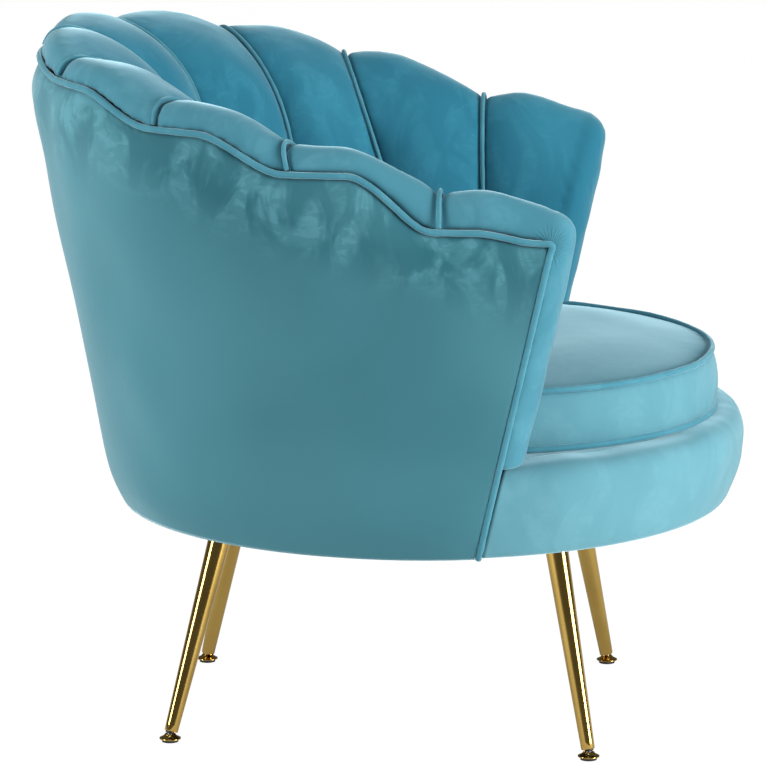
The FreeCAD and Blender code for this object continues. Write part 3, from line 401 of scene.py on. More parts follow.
class Finish:
    """A material, with one method that adds any node and joins its sockets."""

    def __init__(self, name, **shader):
        self.material = bpy.data.materials.new(name)
        self.material.use_nodes = True
        self.tree = self.material.node_tree
        self.surface = next(n for n in self.tree.nodes if n.type == "BSDF_PRINCIPLED")
        for key, value in shader.items():
            self.surface.inputs[key.replace("_", " ")].default_value = value

    def node(self, kind, settings=None, values=None):
        made = self.tree.nodes.new(kind)
        for key, value in (settings or {}).items():
            setattr(made, key, value)
        for key, value in (values or {}).items():
            if isinstance(value, Value):
                self.tree.links.new(value.socket, made.inputs[key])
            else:
                made.inputs[key].default_value = value
        return [Value(self, socket) for socket in made.outputs]

    def give(self, key, value):
        if isinstance(value, Value):
            self.tree.links.new(value.socket, self.surface.inputs[key])
        else:
            self.surface.inputs[key].default_value = value

    def place(self, scale=(1, 1, 1), turn=(0, 0, 0)):
        """Object coordinates, stretched and turned."""
        here = self.node("ShaderNodeTexCoord")[3]
        return self.node("ShaderNodeMapping", {}, {"Vector": here, "Scale": scale, "Rotation": turn})[0]

    def corner_axes(self):
        """The three object coordinates, in metres."""
        here = self.node("ShaderNodeTexCoord")[3]
        return self.node("ShaderNodeSeparateXYZ", {}, {"Vector": here})

    def noise(self, where, scale, detail=2.0, rough=0.5, twist=0.0):
        values = {"Vector": where, "Scale": scale, "Detail": detail, "Roughness": rough,
                  "Distortion": twist}
        return self.node("ShaderNodeTexNoise", {}, values)[0]

    def mixed(self, amount, first, second):
        made = self.node("ShaderNodeMix", {"data_type": "RGBA"}, {0: amount, 6: first, 7: second})
        return made[2]

    def bump(self, height, strength, distance, under=None):
        values = {"Height": height, "Strength": strength, "Distance": distance}
        if under is not None:
            values["Normal"] = under
        return self.node("ShaderNodeBump", {}, values)[0]


def tint(red, green, blue):
    """Screen colour, 0 to 255, as the linear colour that a shader takes."""
    screen = np.array([red, green, blue]) / 255
    linear = np.where(screen <= 0.04045, screen / 12.92, ((screen + 0.055) / 1.055) ** 2.4)
    return tuple(linear) + (1.0,)


def velvet_finish(name, marks, spread=0.0, lift=0.0, seed_turn=0.0, band_and_painted_light_ends=False, gathers=None,
                  dark=(30, 102, 122), pale=(84, 156, 172), painted_lit_rim=None, over=None):
    """Short velvet pile: brushed patches lighten or darken it, most of all in a band below the rim. Options
    paint light and shade into the colour: lighter panel ends where lamps graze, a lighter outer rim and a
    darker cushion top.
    """
    velvet = Finish(name, Roughness=0.85, Sheen_Weight=1.0, Sheen_Roughness=0.35,
                    Sheen_Tint=(0.60, 0.90, 1.0, 1.0), Specular_IOR_Level=0.1)
    here = velvet.place(turn=(0.3, 0.2, seed_turn))
    broad = velvet.noise(here, 4.0, 1.5, 0.45, 0.5)
    brushed = velvet.noise(velvet.place((1.0, 1.0, 0.6), (0.5, 0.3, 0.4 + seed_turn)), 17.0, 3.0, 0.55, 1.4)
    fingers = velvet.noise(velvet.place((0.8, 1.0, 1.7), (0.2, 0.6, seed_turn)), 46.0, 2.0, 0.5, 1.0)
    patches = brushed.step(0.42, 0.62) * 0.6 + fingers.step(0.46, 0.58) * brushed.step(0.46, 0.6) * 0.4
    if band_and_painted_light_ends:
        x, y, z = velvet.corner_axes()
        inside = (z - 0.26 * y + 0.10 * (broad - 0.5)).step(0.53, 0.60)
        patches = patches * inside + 0.5 * (1 - inside)
        # Painted light: the outside panel is lighter towards its back end and its front end, where the back
        # and front lamps graze it.
        patches = patches + 0.75 * y.step(0.10, 0.38) + 0.45 * (1 - y.step(-0.24, -0.06))
    shade = ((broad.step(0.3, 0.7) - 0.5) * spread + (patches - 0.5) * marks + (0.5 + lift)).clamped()
    colour = velvet.mixed(shade, tint(*dark), tint(*pale))
    # Painted light: a lighter copy of the tint on the outer part of the rim and on the arm front's outer
    # half, as if lit from above.
    if painted_lit_rim:
        x, y, z = velvet.corner_axes()
        back = (y - 0.0286).highest(0.0)
        beyond = ((x * x + back * back) ** 0.5).step(0.300, 0.345)
        colour = velvet.mixed(beyond, colour, velvet.mixed(shade, tint(*painted_lit_rim[0]), tint(*painted_lit_rim[1])))
    # Painted shade: a darker copy of the tint on the cushion's top, so that it looks less lit.
    if over:
        level = velvet.corner_axes()[2]
        painted_shade_top = velvet.mixed(shade, tint(*over[0]), tint(*over[1]))
        colour = velvet.mixed(level.step(0.405, 0.4165), colour, painted_shade_top)
    velvet.give("Base Color", colour)
    pile = velvet.noise(velvet.place(), 900.0, 2.0, 0.6)
    soft = velvet.noise(velvet.place(), 40.0, 2.0, 0.5, 0.3)
    relief = velvet.bump(soft, 0.12, 0.002, velvet.bump(pile, 0.2, 0.0005))
    if gathers:
        x, y, z = velvet.corner_axes()
        ahead, above = gathers[1] - y, z - gathers[2]
        away = (ahead * ahead + above * above) ** 0.5
        angle = velvet.node("ShaderNodeMath", {"operation": "ARCTAN2"}, {0: above, 1: ahead})[0]
        waves = velvet.node("ShaderNodeMath", {"operation": "SINE"}, {0: angle * 27.0 + soft * 9.0})[0]
        nearby = (1 - away.step(0.008, 0.026)) * away.step(0.003, 0.009)
        nearby = nearby * (x * x).step(0.108, 0.118)
        relief = velvet.bump(waves * nearby, 0.4, 0.001, relief)
    velvet.give("Normal", relief)
    velvet.give("Roughness", 0.78 + 0.14 * brushed)
    return velvet.material


def brass_finish():
    """Polished brass-coloured plating, with faint long scratches round the tube."""
    brass = Finish("brass_finish", Metallic=1.0, Roughness=0.12)
    scratches = brass.noise(brass.place((1, 1, 0.05)), 700.0, 2.0, 0.6)
    cloud = brass.noise(brass.place(), 18.0, 2.0, 0.5)
    brass.give("Base Color", brass.mixed(cloud, tint(180, 147, 76), tint(202, 170, 94)))
    brass.give("Roughness", 0.10 + 0.10 * cloud * scratches)
    brass.give("Normal", brass.bump(scratches, 0.03, 0.0002))
    return brass.material


def steel_finish(name, colour, rough):
    steel = Finish(name, Metallic=1.0, Roughness=rough)
    cloud = steel.noise(steel.place(), 120.0, 3.0, 0.6)
    steel.give("Base Color", steel.mixed(cloud, colour, tuple(0.8 * c for c in colour[:3]) + (1.0,)))
    steel.give("Roughness", rough - 0.08 + 0.16 * cloud)
    return steel.material


def wood_finish(name, pale, dark):
    """Plain board: long growth lines across a softer cloud."""
    wood = Finish(name, Roughness=0.7)
    lines = wood.noise(wood.place((1.0, 12.0, 1.0)), 14.0, 4.0, 0.6, 0.4)
    wood.give("Base Color", wood.mixed(lines.step(0.35, 0.7), pale, dark))
    wood.give("Normal", wood.bump(lines, 0.15, 0.0006))
    return wood.material


def plain_finish(name, colour, rough, grain=300.0, depth=0.0004):
    plain = Finish(name, Roughness=rough)
    cloud = plain.noise(plain.place(), grain, 3.0, 0.6)
    plain.give("Base Color", plain.mixed(cloud, colour, tuple(0.75 * c for c in colour[:3]) + (1.0,)))
    plain.give("Normal", plain.bump(cloud, 0.3, depth))
    return plain.material


corner = Slices(np.array([5.0]), np.array([END_FULL]))
gather_spot = tuple((corner.at(ROLL_REACH, corner.piping - 2)[0] + np.array([0, SHIFT - 3.0, 0])) * MM)
# One velvet in several tints, as painted light and shade: darker on the outside panel, which faces away from
# the front lamp, and on the petals inside the back; paler on the seat and base, which face the front lamp;
# paler on the pipings' lit tops.
VELVET_SHELL = velvet_finish("velvet_shell", 0.5, 0.2, -0.1, 0.0, band_and_painted_light_ends=True, dark=(26, 84, 96),
                             pale=(90, 148, 160))
VELVET_PETALS = velvet_finish("velvet_petals", 0.22, 0.2, 0.0, 1.1, gathers=gather_spot, dark=(18, 90, 114),
                              pale=(62, 138, 160), painted_lit_rim=((46, 110, 128), (90, 150, 166)))
VELVET_SEAT = velvet_finish("velvet_seat", 0.16, 0.15, 0.0, 2.3, dark=(72, 130, 144), pale=(114, 166, 178),
                            over=((58, 114, 130), (94, 146, 161)))
VELVET_PIPING = velvet_finish("velvet_piping", 0.2, 0.1, 0.0, 0.7, dark=(46, 112, 130), pale=(90, 152, 168))
BRASS = brass_finish()
STEEL = steel_finish("plated_steel", tint(176, 176, 180), 0.35)
SPRING = steel_finish("spring_steel", tint(120, 122, 126), 0.4)
WOOD = wood_finish("frame_wood", tint(206, 176, 132), tint(170, 132, 88))
THIN_BOARD = wood_finish("thin_board", tint(160, 124, 84), tint(130, 96, 62))
FOAM = plain_finish("foam", tint(232, 226, 200), 0.9, 500.0)
FELT = plain_finish("felt", tint(150, 150, 142), 0.95, 400.0)
LINING = plain_finish("lining", tint(34, 34, 36), 0.85, 900.0)
GLIDE = plain_finish("glide", tint(26, 26, 27), 0.5, 260.0)
INSERT = plain_finish("insert_plastic", tint(30, 30, 30), 0.5, 260.0)

by_slot = {"plated_steel": STEEL, "spring_steel": SPRING, "frame_wood": WOOD, "thin_board": THIN_BOARD,
           "foam": FOAM, "felt": FELT, "lining": LINING, "glide": GLIDE, "insert_plastic": INSERT,
           "brass_finish": BRASS, "velvet": VELVET_SHELL, "velvet_piping": VELVET_PIPING}
for entry in frame["record"]["subparts"]:
    thing = nodes[entry["node"]]
    thing.data.materials.clear()
    thing.data.materials.append(by_slot[entry["material_slot"]])


# Petals
PETAL_ROWS = 45


def petal_front(slices):
    """Out at the piping, over the rim on one arc, down on another, and straight to the deck."""
    pipe_slope = np.abs(np.gradient(slices.piping)) / np.maximum(np.abs(np.gradient(slices.reach)), 1e-6)
    lip = slices.piping + PIPING * np.sqrt(1 + pipe_slope ** 2) - LIP_ON_PIPING
    zero = np.zeros_like(lip)
    depth, knee = -slices.depth - slices.plump, slices.top - ROLL_HEIGHT
    deck = zero + DECK + GAP
    spots = [
        (zero + ROLL_REACH, lip),
        (0.8 * ROLL_REACH + ROLL_OUT * slices.full, lip + 0.68 * (slices.top - lip)),
        (zero, slices.top),
        (0.62 * depth, slices.top - 0.36 * ROLL_HEIGHT),
        (depth, knee),
        (slices.well - ARM_CROWN * slices.full, deck),
    ]
    a, b, c, d, e, f = (np.stack(spot, -1) for spot in spots)
    line = np.concatenate([arc_through(a, b, c, 16), arc_through(c, d, e, 22)[..., 1:, :],
                           line_between(e, f, 50)[..., 1:, :]], -2)
    return softened(line, 24), lip


def petal_rings(number, seed):
    """Closed rings across a petal: its padded front, then the straight lines of its back."""
    part = 0.5 - 0.5 * np.cos(np.linspace(0, math.pi, PETAL_ROWS))
    part = 0.6 * part + 0.4 * np.linspace(0, 1, PETAL_ROWS)
    part[-2] = 0.9995
    slices = Slices(number + part, fullness(number + part - 1e-9))
    front, lip = petal_front(slices)
    front = respaced(front, 84)
    length = np.concatenate([np.zeros((PETAL_ROWS, 1)),
                             np.cumsum(np.linalg.norm(np.diff(front, axis=1), axis=2), axis=1)], 1)
    width = SEAMS[number + 1] - SEAMS[number]
    near = np.minimum(part * width, (1 - part) * width)
    tangent = np.gradient(front, axis=1)
    tangent /= np.linalg.norm(tangent, axis=2, keepdims=True)
    normal = np.stack([tangent[..., 1], -tangent[..., 0]], -1)
    if ((normal[:, 40] * np.array([-1.0, 0.0])).sum(-1)).mean() < 0:
        normal = -normal
    pinch = 0.55 + 0.45 * np.exp(-(length / 160) ** 2)
    groove = -3.4 * np.exp(-(near / 4.5) ** 2)[:, None] * np.minimum(length / 6, 1)
    along = part[:, None] * width
    beside_seam = (np.exp(-near / 16) * np.minimum(near / 5, 1))[:, None]
    pucker = 1.5 * pinch * beside_seam * ripple(0.25 * along, length, seed, 16, 42)
    pucker = pucker * np.minimum(length / 14, 1)
    broad = 1.3 * ripple(along, 0.7 * length, seed + 1, 70, 160) * np.minimum(length / 25, 1)
    broad = broad * crown(part, 4)[:, None]
    fold = 0.6 * ripple(0.5 * along, length, seed + 2, 26, 60) * np.exp(-((length - 45) / 55) ** 2)
    fold = fold * crown(part, 3)[:, None]
    thin = -1.5 * crown(part, 4)[:, None] * np.minimum(length / 30, 1)
    front = front + normal * (groove + pucker + broad + fold + thin)[..., None]
    front_world = slices_at(slices, front)
    deck = DECK + GAP
    back = [slices.pad_back(deck + 0 * lip), slices.pad_back(slices.rail_top + GAP),
            slices.at(RAIL_REACH + GAP, slices.rail_top + GAP), slices.at(RAIL_REACH + GAP, lip)]
    runs = [front_world]
    corners = [front_world[:, -1]] + back + [front_world[:, 0]]
    for start, end, count in zip(corners, corners[1:], (4, 12, 4, 3, 3)):
        runs.append(line_between(start, end, count + 1)[:, 1:])
    rings = np.concatenate(runs, 1)[:, :-1]
    held = np.concatenate([rings[0], rings[:, front.shape[1] - 1:].reshape(-1, 3), rings[:, 0]])
    return rings, held if number == 4 else np.concatenate([held, rings[-1]])


def slices_at(slices, line):
    """Places of (outward, height) points along every slice."""
    wide = Slices(slices.count[:, None], slices.full[:, None])
    return wide.at(line[..., 0], line[..., 1])


for side, hand in (("left", 1), ("right", -1)):
    for number in range(4):
        rings, held = petal_rings(number, 100 + 10 * number + (5 if hand < 0 else 0))
        rings, held = (rings, held) if hand > 0 else (mirrored(rings), mirrored(held))
        name = "petal_%s_%d" % (side, number + 1)
        mesh = outward(mesh_from("padded_" + name, rings, round_v=True, cap_u=(True, True)))
        mesh = stuffed(mesh, held, 5.0, 4.0)
        piece("padded_" + name, mesh, VELVET_PETALS, "chair_frame", (name,), levels=1)


# Outside cover
def cover_profile(slices):
    """Drum's round foot on an arc, straight up to the shoulder, then a tuck in to the piping."""
    slope = np.abs(np.gradient(slices.piping)) / np.maximum(np.abs(np.gradient(slices.reach)), 1e-6)
    top = slices.piping - PIPING * np.sqrt(1 + slope ** 2) - GAP
    zero = np.zeros_like(top)
    foot = slices.on_drum(FOOT_RADIUS, BASE_UNDERSIDE + zero)
    middle = slices.on_drum((FOOT_RADIUS + LINE_RADIUS) / 2 + 2, (BASE_UNDERSIDE + LINE_HEIGHT) / 2 + zero)
    line = slices.cover_at(LINE_HEIGHT + zero)
    shoulder = slices.cover_at(top - TUCK)
    bend = slices.cover_at(top - TUCK / 2) - slices.out * (0.23 * SWELL)
    tip = slices.cover_plane(top)
    runs = [quadratic(foot, middle, line, 12), line_between(line, shoulder, 46)[:, 1:],
            quadratic(shoulder, bend, tip, 14)[:, 1:]]
    return softened(np.concatenate(runs, 1), 10)


def quadratic(a, b, c, count):
    """Parabola through three points, the middle one halfway."""
    t = np.linspace(0, 1, count)[:, None]
    a, b, c = (p[:, None] for p in (a, b, c))
    return a * (2 * t - 1) * (t - 1) + b * 4 * t * (1 - t) + c * t * (2 * t - 1)


half = np.concatenate([np.linspace(k, k + 1, 25)[:-1] for k in range(5)] + [[5.0]])
right_side = Slices(half, fullness(half))
outer = respaced(cover_profile(right_side), 96)
span = right_side.reach[:, None]


def cover_side(seed, hand):
    """Outer and inner skin of one half of the cover, with soft pulls below the rim piping."""
    normal = grid_normals(outer)
    outwards = np.sign((normal * right_side.out[:, None]).sum(-1, keepdims=True))
    normal = normal * outwards
    rise = outer[..., 2]
    below = right_side.piping[:, None] - rise
    edge = np.minimum(below / 12, 1) * np.minimum((rise - 244) / 30, 1)
    edge = edge * np.minimum((SEAMS[-1] + 6 - span) / 30, 1)
    pulls = 1.6 * ripple(span, 0.22 * below, seed, 45, 150) * np.exp(-(below / 120) ** 2)
    pulls = pulls * np.minimum(below / 30, 1)
    broad = 1.2 * ripple(span, below, seed + 3, 120, 320)
    skin = outer + normal * (np.clip(edge, 0, 1) * (pulls + broad * np.minimum(span / 60, 1)))[..., None]
    inner = outer - normal * 4.0
    ring = np.concatenate([skin, inner[:, ::-1]], 1)
    return ring if hand > 0 else mirrored(ring)


left_half, right_half = cover_side(31, 1), cover_side(47, -1)
cover = np.concatenate([right_half[::-1][:-1], left_half], 0)
mesh = mesh_from("outside_cover", cover, round_v=True, cap_u=(True, True))
piece("outside_cover", mesh, VELVET_SHELL, "chair_frame", ("back_cover",), levels=0)

# Pipings and welts
count = np.linspace(0, 5, 420)
rim = Slices(count, fullness(count))
rim_half = softened(rim.at(ROLL_REACH + 1.0, rim.piping)[None], 4)[0]
edge = Slices(np.array([4.9999, 5.0]), np.array([END_FULL, END_FULL]))
edge_line = respaced(cover_profile(edge)[1:2], 160)[0][::-1]
down = edge_line[4:] + np.array([-2.0, -PIPING - GAP, 0])
down[:, 2] = np.maximum(down[:, 2], BASE_UNDERSIDE - 1.5)
bend = rim_half[-1:] + np.array([-0.6, -PIPING - GAP, 0.0])
half_path = np.concatenate([rim_half[:-2], bend, bend - np.array([0.5, 0, 5.0]), down], 0)
whole = np.concatenate([mirrored(half_path)[::-1][:-1], half_path], 0)
whole = softened(respaced(whole[None], 1100), 3)[0]
fronts = (whole[:, 1] < bend[0, 1] + 1.0)[:, None]
hint = np.where(fronts, FORWARD, np.array([0.0, 0, 1]))
hint = softened(hint[None], 12)[0]
cord_piece("rim_cord", whole, PIPING, np.cross(np.gradient(whole, axis=0), hint),
           ("rim_piping", "front_piping_left", "front_piping_right"), 0.035, 3, 14)

STAND = np.array([0.9, 0.9, 1.1, 1.2, 2.6])
for number, hand in [(0, 1)] + [(n, h) for n in range(1, 5) for h in (1, -1)]:
    seam = Slices(np.array([number - 1e-4, float(number)]), np.array([0.0, 0.0]))
    line, _ = petal_front(seam)
    line = respaced(line, 150)[1]
    tangent = np.gradient(line, axis=0)
    tangent /= np.linalg.norm(tangent, axis=1, keepdims=True)
    normal = np.stack([tangent[:, 1], -tangent[:, 0]], -1)
    normal = normal if normal[60, 0] < 0 else -normal
    line = line + normal * STAND[number]
    place = slices_at(seam, np.stack([line, line]))[1][1:-3]
    place = place if hand > 0 else mirrored(place)
    sideways = np.array([hand, 1.0, 1.0]) * seam.ahead[1]
    name = "welt_%d_%s" % (number, "left" if hand > 0 else "right")
    cord_piece(name, place, WELT, sideways, ("petal_welts",), 0.05, 60 + number + hand, 10)


# Arm fronts
def arm_front(seed):
    """Half-ellipse slices from the deck up, which close in a dome over the last petal's end."""
    line = petal_front(edge)[0][1]
    crest = int(np.argmax(line[:, 1]))
    top = line[crest, 1]
    inside, outside = line[crest:], line[:crest + 1]
    rows = 110
    rise = np.sin(np.linspace(0, math.pi / 2, rows)) ** 0.9
    height = DECK + GAP + (top - 0.3 - DECK - GAP) * rise
    inner = np.interp(height, inside[::-1, 1], inside[::-1, 0])
    slices = Slices(np.full(rows, 5.0), np.full(rows, END_FULL))
    cord = np.stack([np.interp(height, down[::-1, 2], down[::-1, axis]) for axis in range(3)], -1)
    under_cord = ((cord - slices.at(0 * height, height)) * slices.out).sum(-1) - 0.3 * PIPING
    lip = outside[0, 1]
    over = np.interp(height, outside[:, 1], outside[:, 0])
    blend = np.clip((height - lip + 12) / 12, 0, 1)
    outer_edge = np.where(height > lip, over, under_cord * (1 - blend) + over * blend)
    below_top = np.clip((top - height) / 50, 0, 1)
    nose = ARM_NOSE * (1 - (1 - below_top) ** 3.8) + 0.3
    turn = np.linspace(0, math.pi, 45)
    middle, half_width = (inner + outer_edge) / 2, (outer_edge - inner) / 2
    across = middle[:, None] + half_width[:, None] * np.cos(turn)[None, :]
    ahead = nose[:, None] * np.sin(turn)[None, :] ** 0.85
    wide = Slices(np.full((rows, 1), 5.0), np.full((rows, 1), END_FULL))
    spot = wide.at(across, np.broadcast_to(height[:, None], across.shape)) + FORWARD * ahead[..., None]
    length = np.cumsum(np.linalg.norm(np.diff(spot, axis=1, prepend=spot[:, :1]), axis=2), 1)
    body = np.sin(turn)[None, :]
    spot = spot + FORWARD * (0.8 * ripple(1.2 * length, height[:, None], seed, 30, 110) * body)[..., None]
    first, last = spot[:, :1], spot[:, -1:]
    crisp = [first, first + FORWARD * 0.06, spot[:, 1:-1], last + FORWARD * 0.06, last]
    back = line_between(spot[:, -1], spot[:, 0], 8) - FORWARD * 2.0
    return np.concatenate(crisp + [back], 1)


for side, hand in (("left", 1), ("right", -1)):
    rings, held = petal_rings(4, 140 + (5 if hand < 0 else 0))
    front = arm_front(80 + hand)
    glued = [front[:, 46:], front[:2], front[:, :3]]
    held = np.concatenate([held] + [part.reshape(-1, 3) for part in glued])
    if hand < 0:
        rings, front, held = mirrored(rings), mirrored(front), mirrored(held)
    both = bmesh.new()
    both.from_mesh(outward(mesh_from("last_petal", rings, round_v=True, cap_u=(True, True))))
    both.from_mesh(outward(mesh_from("arm_end", front, round_v=True, cap_u=(True, True))))
    mesh = bpy.data.meshes.new("padded_arm_" + side)
    both.to_mesh(mesh)
    both.free()
    mesh = stuffed(mesh, held, 4.6, 3.0)
    piece("padded_arm_" + side, mesh, VELVET_PETALS, "chair_frame",
          ("petal_%s_5" % side, "arm_roll_" + side), levels=1)


# Round base
def base_section():
    """Top flange, soft shoulder, nearly straight side and hem, then back along the inner face."""
    points = np.array([(302, 346.6), (318, 347.2), (330, 347.4), (338, 346.6), (345, 343.6), (350, 338.6),
                       (353.4, 331), (355, 322), (354.6, 312), (352.6, 298), (349, 283), (344, 268),
                       (338.5, 254), (334.5, 248.4), (331, 247), (326, 247)], float)
    inner = np.array([(326, 249.4), (331, 250), (336, 257), (341, 268), (346, 283), (350, 298), (352, 312),
                      (352.2, 322), (350, 331), (346, 337.6), (338, 343), (330, 344.6), (318, 344.6),
                      (302, 344.4)], float)
    return softened(respaced(points[None], 60), 3)[0], respaced(inner[None], 40)[0]


outer_section, inner_section = base_section()
section = np.concatenate([outer_section, inner_section], 0)
arm_end = Slices(np.full(len(section), 5.0), np.zeros(len(section)))
edge_plane = arm_end.cover_plane(section[:, 1])[:, 1] - 2 * PIPING - 2 * GAP
reach_angle = np.arccos(np.clip(edge_plane / section[:, 0], -1, 1))
sweep = np.linspace(-1, 1, 221)[:, None]
turn = math.pi - (math.pi - reach_angle)[None, :] * sweep
radius = np.broadcast_to(section[:, 0], turn.shape).copy()
lift = np.broadcast_to(section[:, 1], turn.shape).copy()
skin = np.concatenate([np.ones(len(outer_section)), np.zeros(len(inner_section))])[None, :]
arc = turn * 350
settle = np.clip((1 - np.abs(sweep)) / 0.05, 0, 1)
tilt = np.clip((section[:, 1] - 262) / 40, 0, 1)[None, :]
swell = 1.5 * ripple(arc, lift * 1.2, 21, 90, 260) + 0.5 * ripple(arc, 0.4 * lift, 22, 30, 80)
swell = swell * skin * settle * tilt
over = np.clip((section[:, 1] - 335) / 12, 0, 1)[None, :] * skin
radius += np.maximum(swell, -0.5) * (1 - 0.8 * over)
lift += 0.5 * swell * over
base = np.stack([radius * np.sin(turn), radius * np.cos(turn), lift], -1)
mesh = mesh_from("round_base", base, round_v=True, cap_u=(True, True))
piece("round_base", mesh, VELVET_SEAT, "chair_frame", ("base_cover", "base_foam"))


# Seat cushion
def cushion_grid(seed):
    """Turned section: flat bottom, swelling side, and a crown that falls away near its piping."""
    bottom = np.stack([np.linspace(4, CUSHION_RADIUS + 2, 26), np.full(26, CUSHION_LOW)], -1)
    side_turn = np.linspace(0, 1, 26)[1:]
    side_low = np.array([CUSHION_RADIUS + 4.4, CUSHION_LOW + 2.2])
    side_high = np.array([CUSHION_RADIUS + 1.0, CUSHION_HIGH + 3.0])
    side = side_low + (side_high - side_low) * side_turn[:, None]
    side[:, 0] += 6.0 * crown(side_turn, 2.3)
    inwards = np.linspace(0, 1, 60)[1:]
    crowned = np.stack([CUSHION_RADIUS * (1 - inwards) + 4 * inwards,
                        CUSHION_HIGH + 3.6 + 8.9 * (1 - (1 - inwards) ** 3.4)], -1)
    section = np.concatenate([bottom, side, crowned], 0)
    turn = np.linspace(0, 2 * math.pi, 200, endpoint=False)[:, None]
    radius = np.broadcast_to(section[:, 0], (200, len(section))).copy()
    height = np.broadcast_to(section[:, 1], (200, len(section))).copy()
    on_side = np.concatenate([np.zeros(26), np.sin(side_turn * math.pi), np.zeros(59)])[None, :]
    on_top = np.concatenate([np.zeros(51), np.clip(inwards / 0.1, 0, 1)])[None, :]
    wave = ripple(255 * np.sin(turn) + 0 * height, 255 * np.cos(turn) + 0.5 * height, seed, 50, 170)
    tight = ripple(300 * turn, 0.3 * height, seed + 4, 24, 60) * np.sin(turn / 2) ** 2
    radius += on_side * (1.2 * wave + 0.5 * tight)
    x, y = radius * np.sin(turn), radius * np.cos(turn)
    seat_hollow = 2.0 * np.exp(-((x / 150) ** 2 + ((y + 10) / 130) ** 2))
    height += on_top * (1.6 * ripple(x, y, seed + 7, 120, 300) - seat_hollow)
    return np.stack([x, y - CUSHION_FORWARD, height], -1)


grid = cushion_grid(11)
mesh = outward(mesh_from("seat_pad", grid.transpose(1, 0, 2), round_v=True, cap_u=(True, True)))
spread = np.linspace(0, 2 * math.pi, 400, endpoint=False)
loop = np.stack([np.sin(spread), np.cos(spread), 0 * spread], -1)
centre = np.array([0, -CUSHION_FORWARD, 0])
held_rings = [(CUSHION_RADIUS + 0.5, CUSHION_HIGH + 3.4), (CUSHION_RADIUS + 3.5, CUSHION_LOW + 2)]
held_rings += [(radius, CUSHION_LOW) for radius in range(6, 258, 8)]
held = [loop * radius + centre + np.array([0, 0, height]) for radius, height in held_rings]
mesh = stuffed(mesh, np.concatenate(held), 6.0, 5.0)
piece("seat_pad", mesh, VELVET_SEAT, "seat_cushion", ("cushion_cover", "cushion_foam"), levels=1)
turn = np.linspace(0, 2 * math.pi, 320, endpoint=False)
for end, out, height, seed in (("top", 1.6, CUSHION_HIGH + 2.9, 7), ("bottom", 5.9, CUSHION_LOW + 3.5, 9)):
    around = CUSHION_RADIUS + out
    ring = np.stack([around * np.sin(turn), around * np.cos(turn) - CUSHION_FORWARD,
                     height + 0.5 * ripple(255 * np.sin(turn), 255 * np.cos(turn), seed, 80, 240)], -1)
    loop = np.concatenate([ring[-3:], ring, ring[:3]], 0)
    grid = cord_grid(loop, PIPING, np.array([0.0, 0, 1]), 12, 0.03, seed)[3:-3]
    name = "seat_cord_" + end
    mesh = mesh_from(name, grid, round_u=True, round_v=True)
    piece(name, mesh, VELVET_PIPING, "seat_cushion", ("cushion_piping_" + end,))


# Legs and feet
def turned_grid(profile, start, end, sides=48):
    """Rings of a profile's radii at its distances along the line between two points."""
    start, end = np.array(start, float), np.array(end, float)
    axis = (end - start) / np.linalg.norm(end - start)
    across = np.cross(axis, [0.3, 1.0, 0.0])
    across /= np.linalg.norm(across)
    other = np.cross(axis, across)
    turn = np.linspace(0, 2 * math.pi, sides, endpoint=False)
    profile = np.array(profile, float)
    ring = across * np.cos(turn)[:, None] + other * np.sin(turn)[:, None]
    return start + axis * profile[:, 1][:, None, None] + ring[None] * profile[:, 0][:, None, None]


LEGS = {"front_left": ((162.5, -154.0), (208.5, -196.0)), "front_right": ((-162.5, -154.0), (-208.5, -196.0)),
        "rear_left": ((110.0, 208.0), (174.8, 263.8)), "rear_right": ((-110.0, 208.0), (-174.8, 263.8))}
TUBE_START = 4.15
for corner, (top, foot) in LEGS.items():
    start = np.array([foot[0], foot[1], 7.0])
    end = np.array([top[0], top[1], 244.0])
    length = np.linalg.norm(end - start)
    radii = np.linspace(7.5, 13.0, 30)
    along = np.linspace(TUBE_START, length, 30)
    tube = [(6.2, TUBE_START + 6), (6.2, TUBE_START + 0.4), (6.8, TUBE_START), (7.3, TUBE_START + 0.15),
            (7.5, TUBE_START + 0.8)]
    tube += [(r, d) for r, d in zip(radii[1:-1], along[1:-1])] + [(12.9, length - 0.8), (12.9, length)]
    grid = turned_grid(tube, start, end, 64)
    flat_top = grid[-1].copy()
    axis = (end - start) / length
    lift = (243.8 - flat_top[:, 2]) / axis[2]
    grid[-1] = flat_top + lift[:, None] * axis
    mesh = mesh_from("leg_tube_" + corner, grid, round_v=True, cap_u=(True, True))
    piece("leg_tube_" + corner, mesh, BRASS, "chair_frame", ("leg_" + corner,))
    shell = [(0.5, 3.1), (11.4, 3.1), (11.8, 3.4), (11.9, 3.9), (11.7, 4.4), (11.0, 4.8), (9.4, 5.5),
             (7.6, 6.6), (6.6, 7.6), (6.1, 8.3), (5.9, 8.7), (5.5, 8.9), (4.2, 8.9), (3.9, 8.6), (3.7, 7.0),
             (0.5, 3.5)]
    grid = turned_grid(shell, (foot[0], foot[1], 0), (foot[0], foot[1], 9), 48)
    mesh = mesh_from("glide_shell_" + corner, grid, round_v=True, cap_u=(True, True))
    piece("glide_shell_" + corner, mesh, BRASS, "foot_" + corner, ("foot_shell_" + corner,))

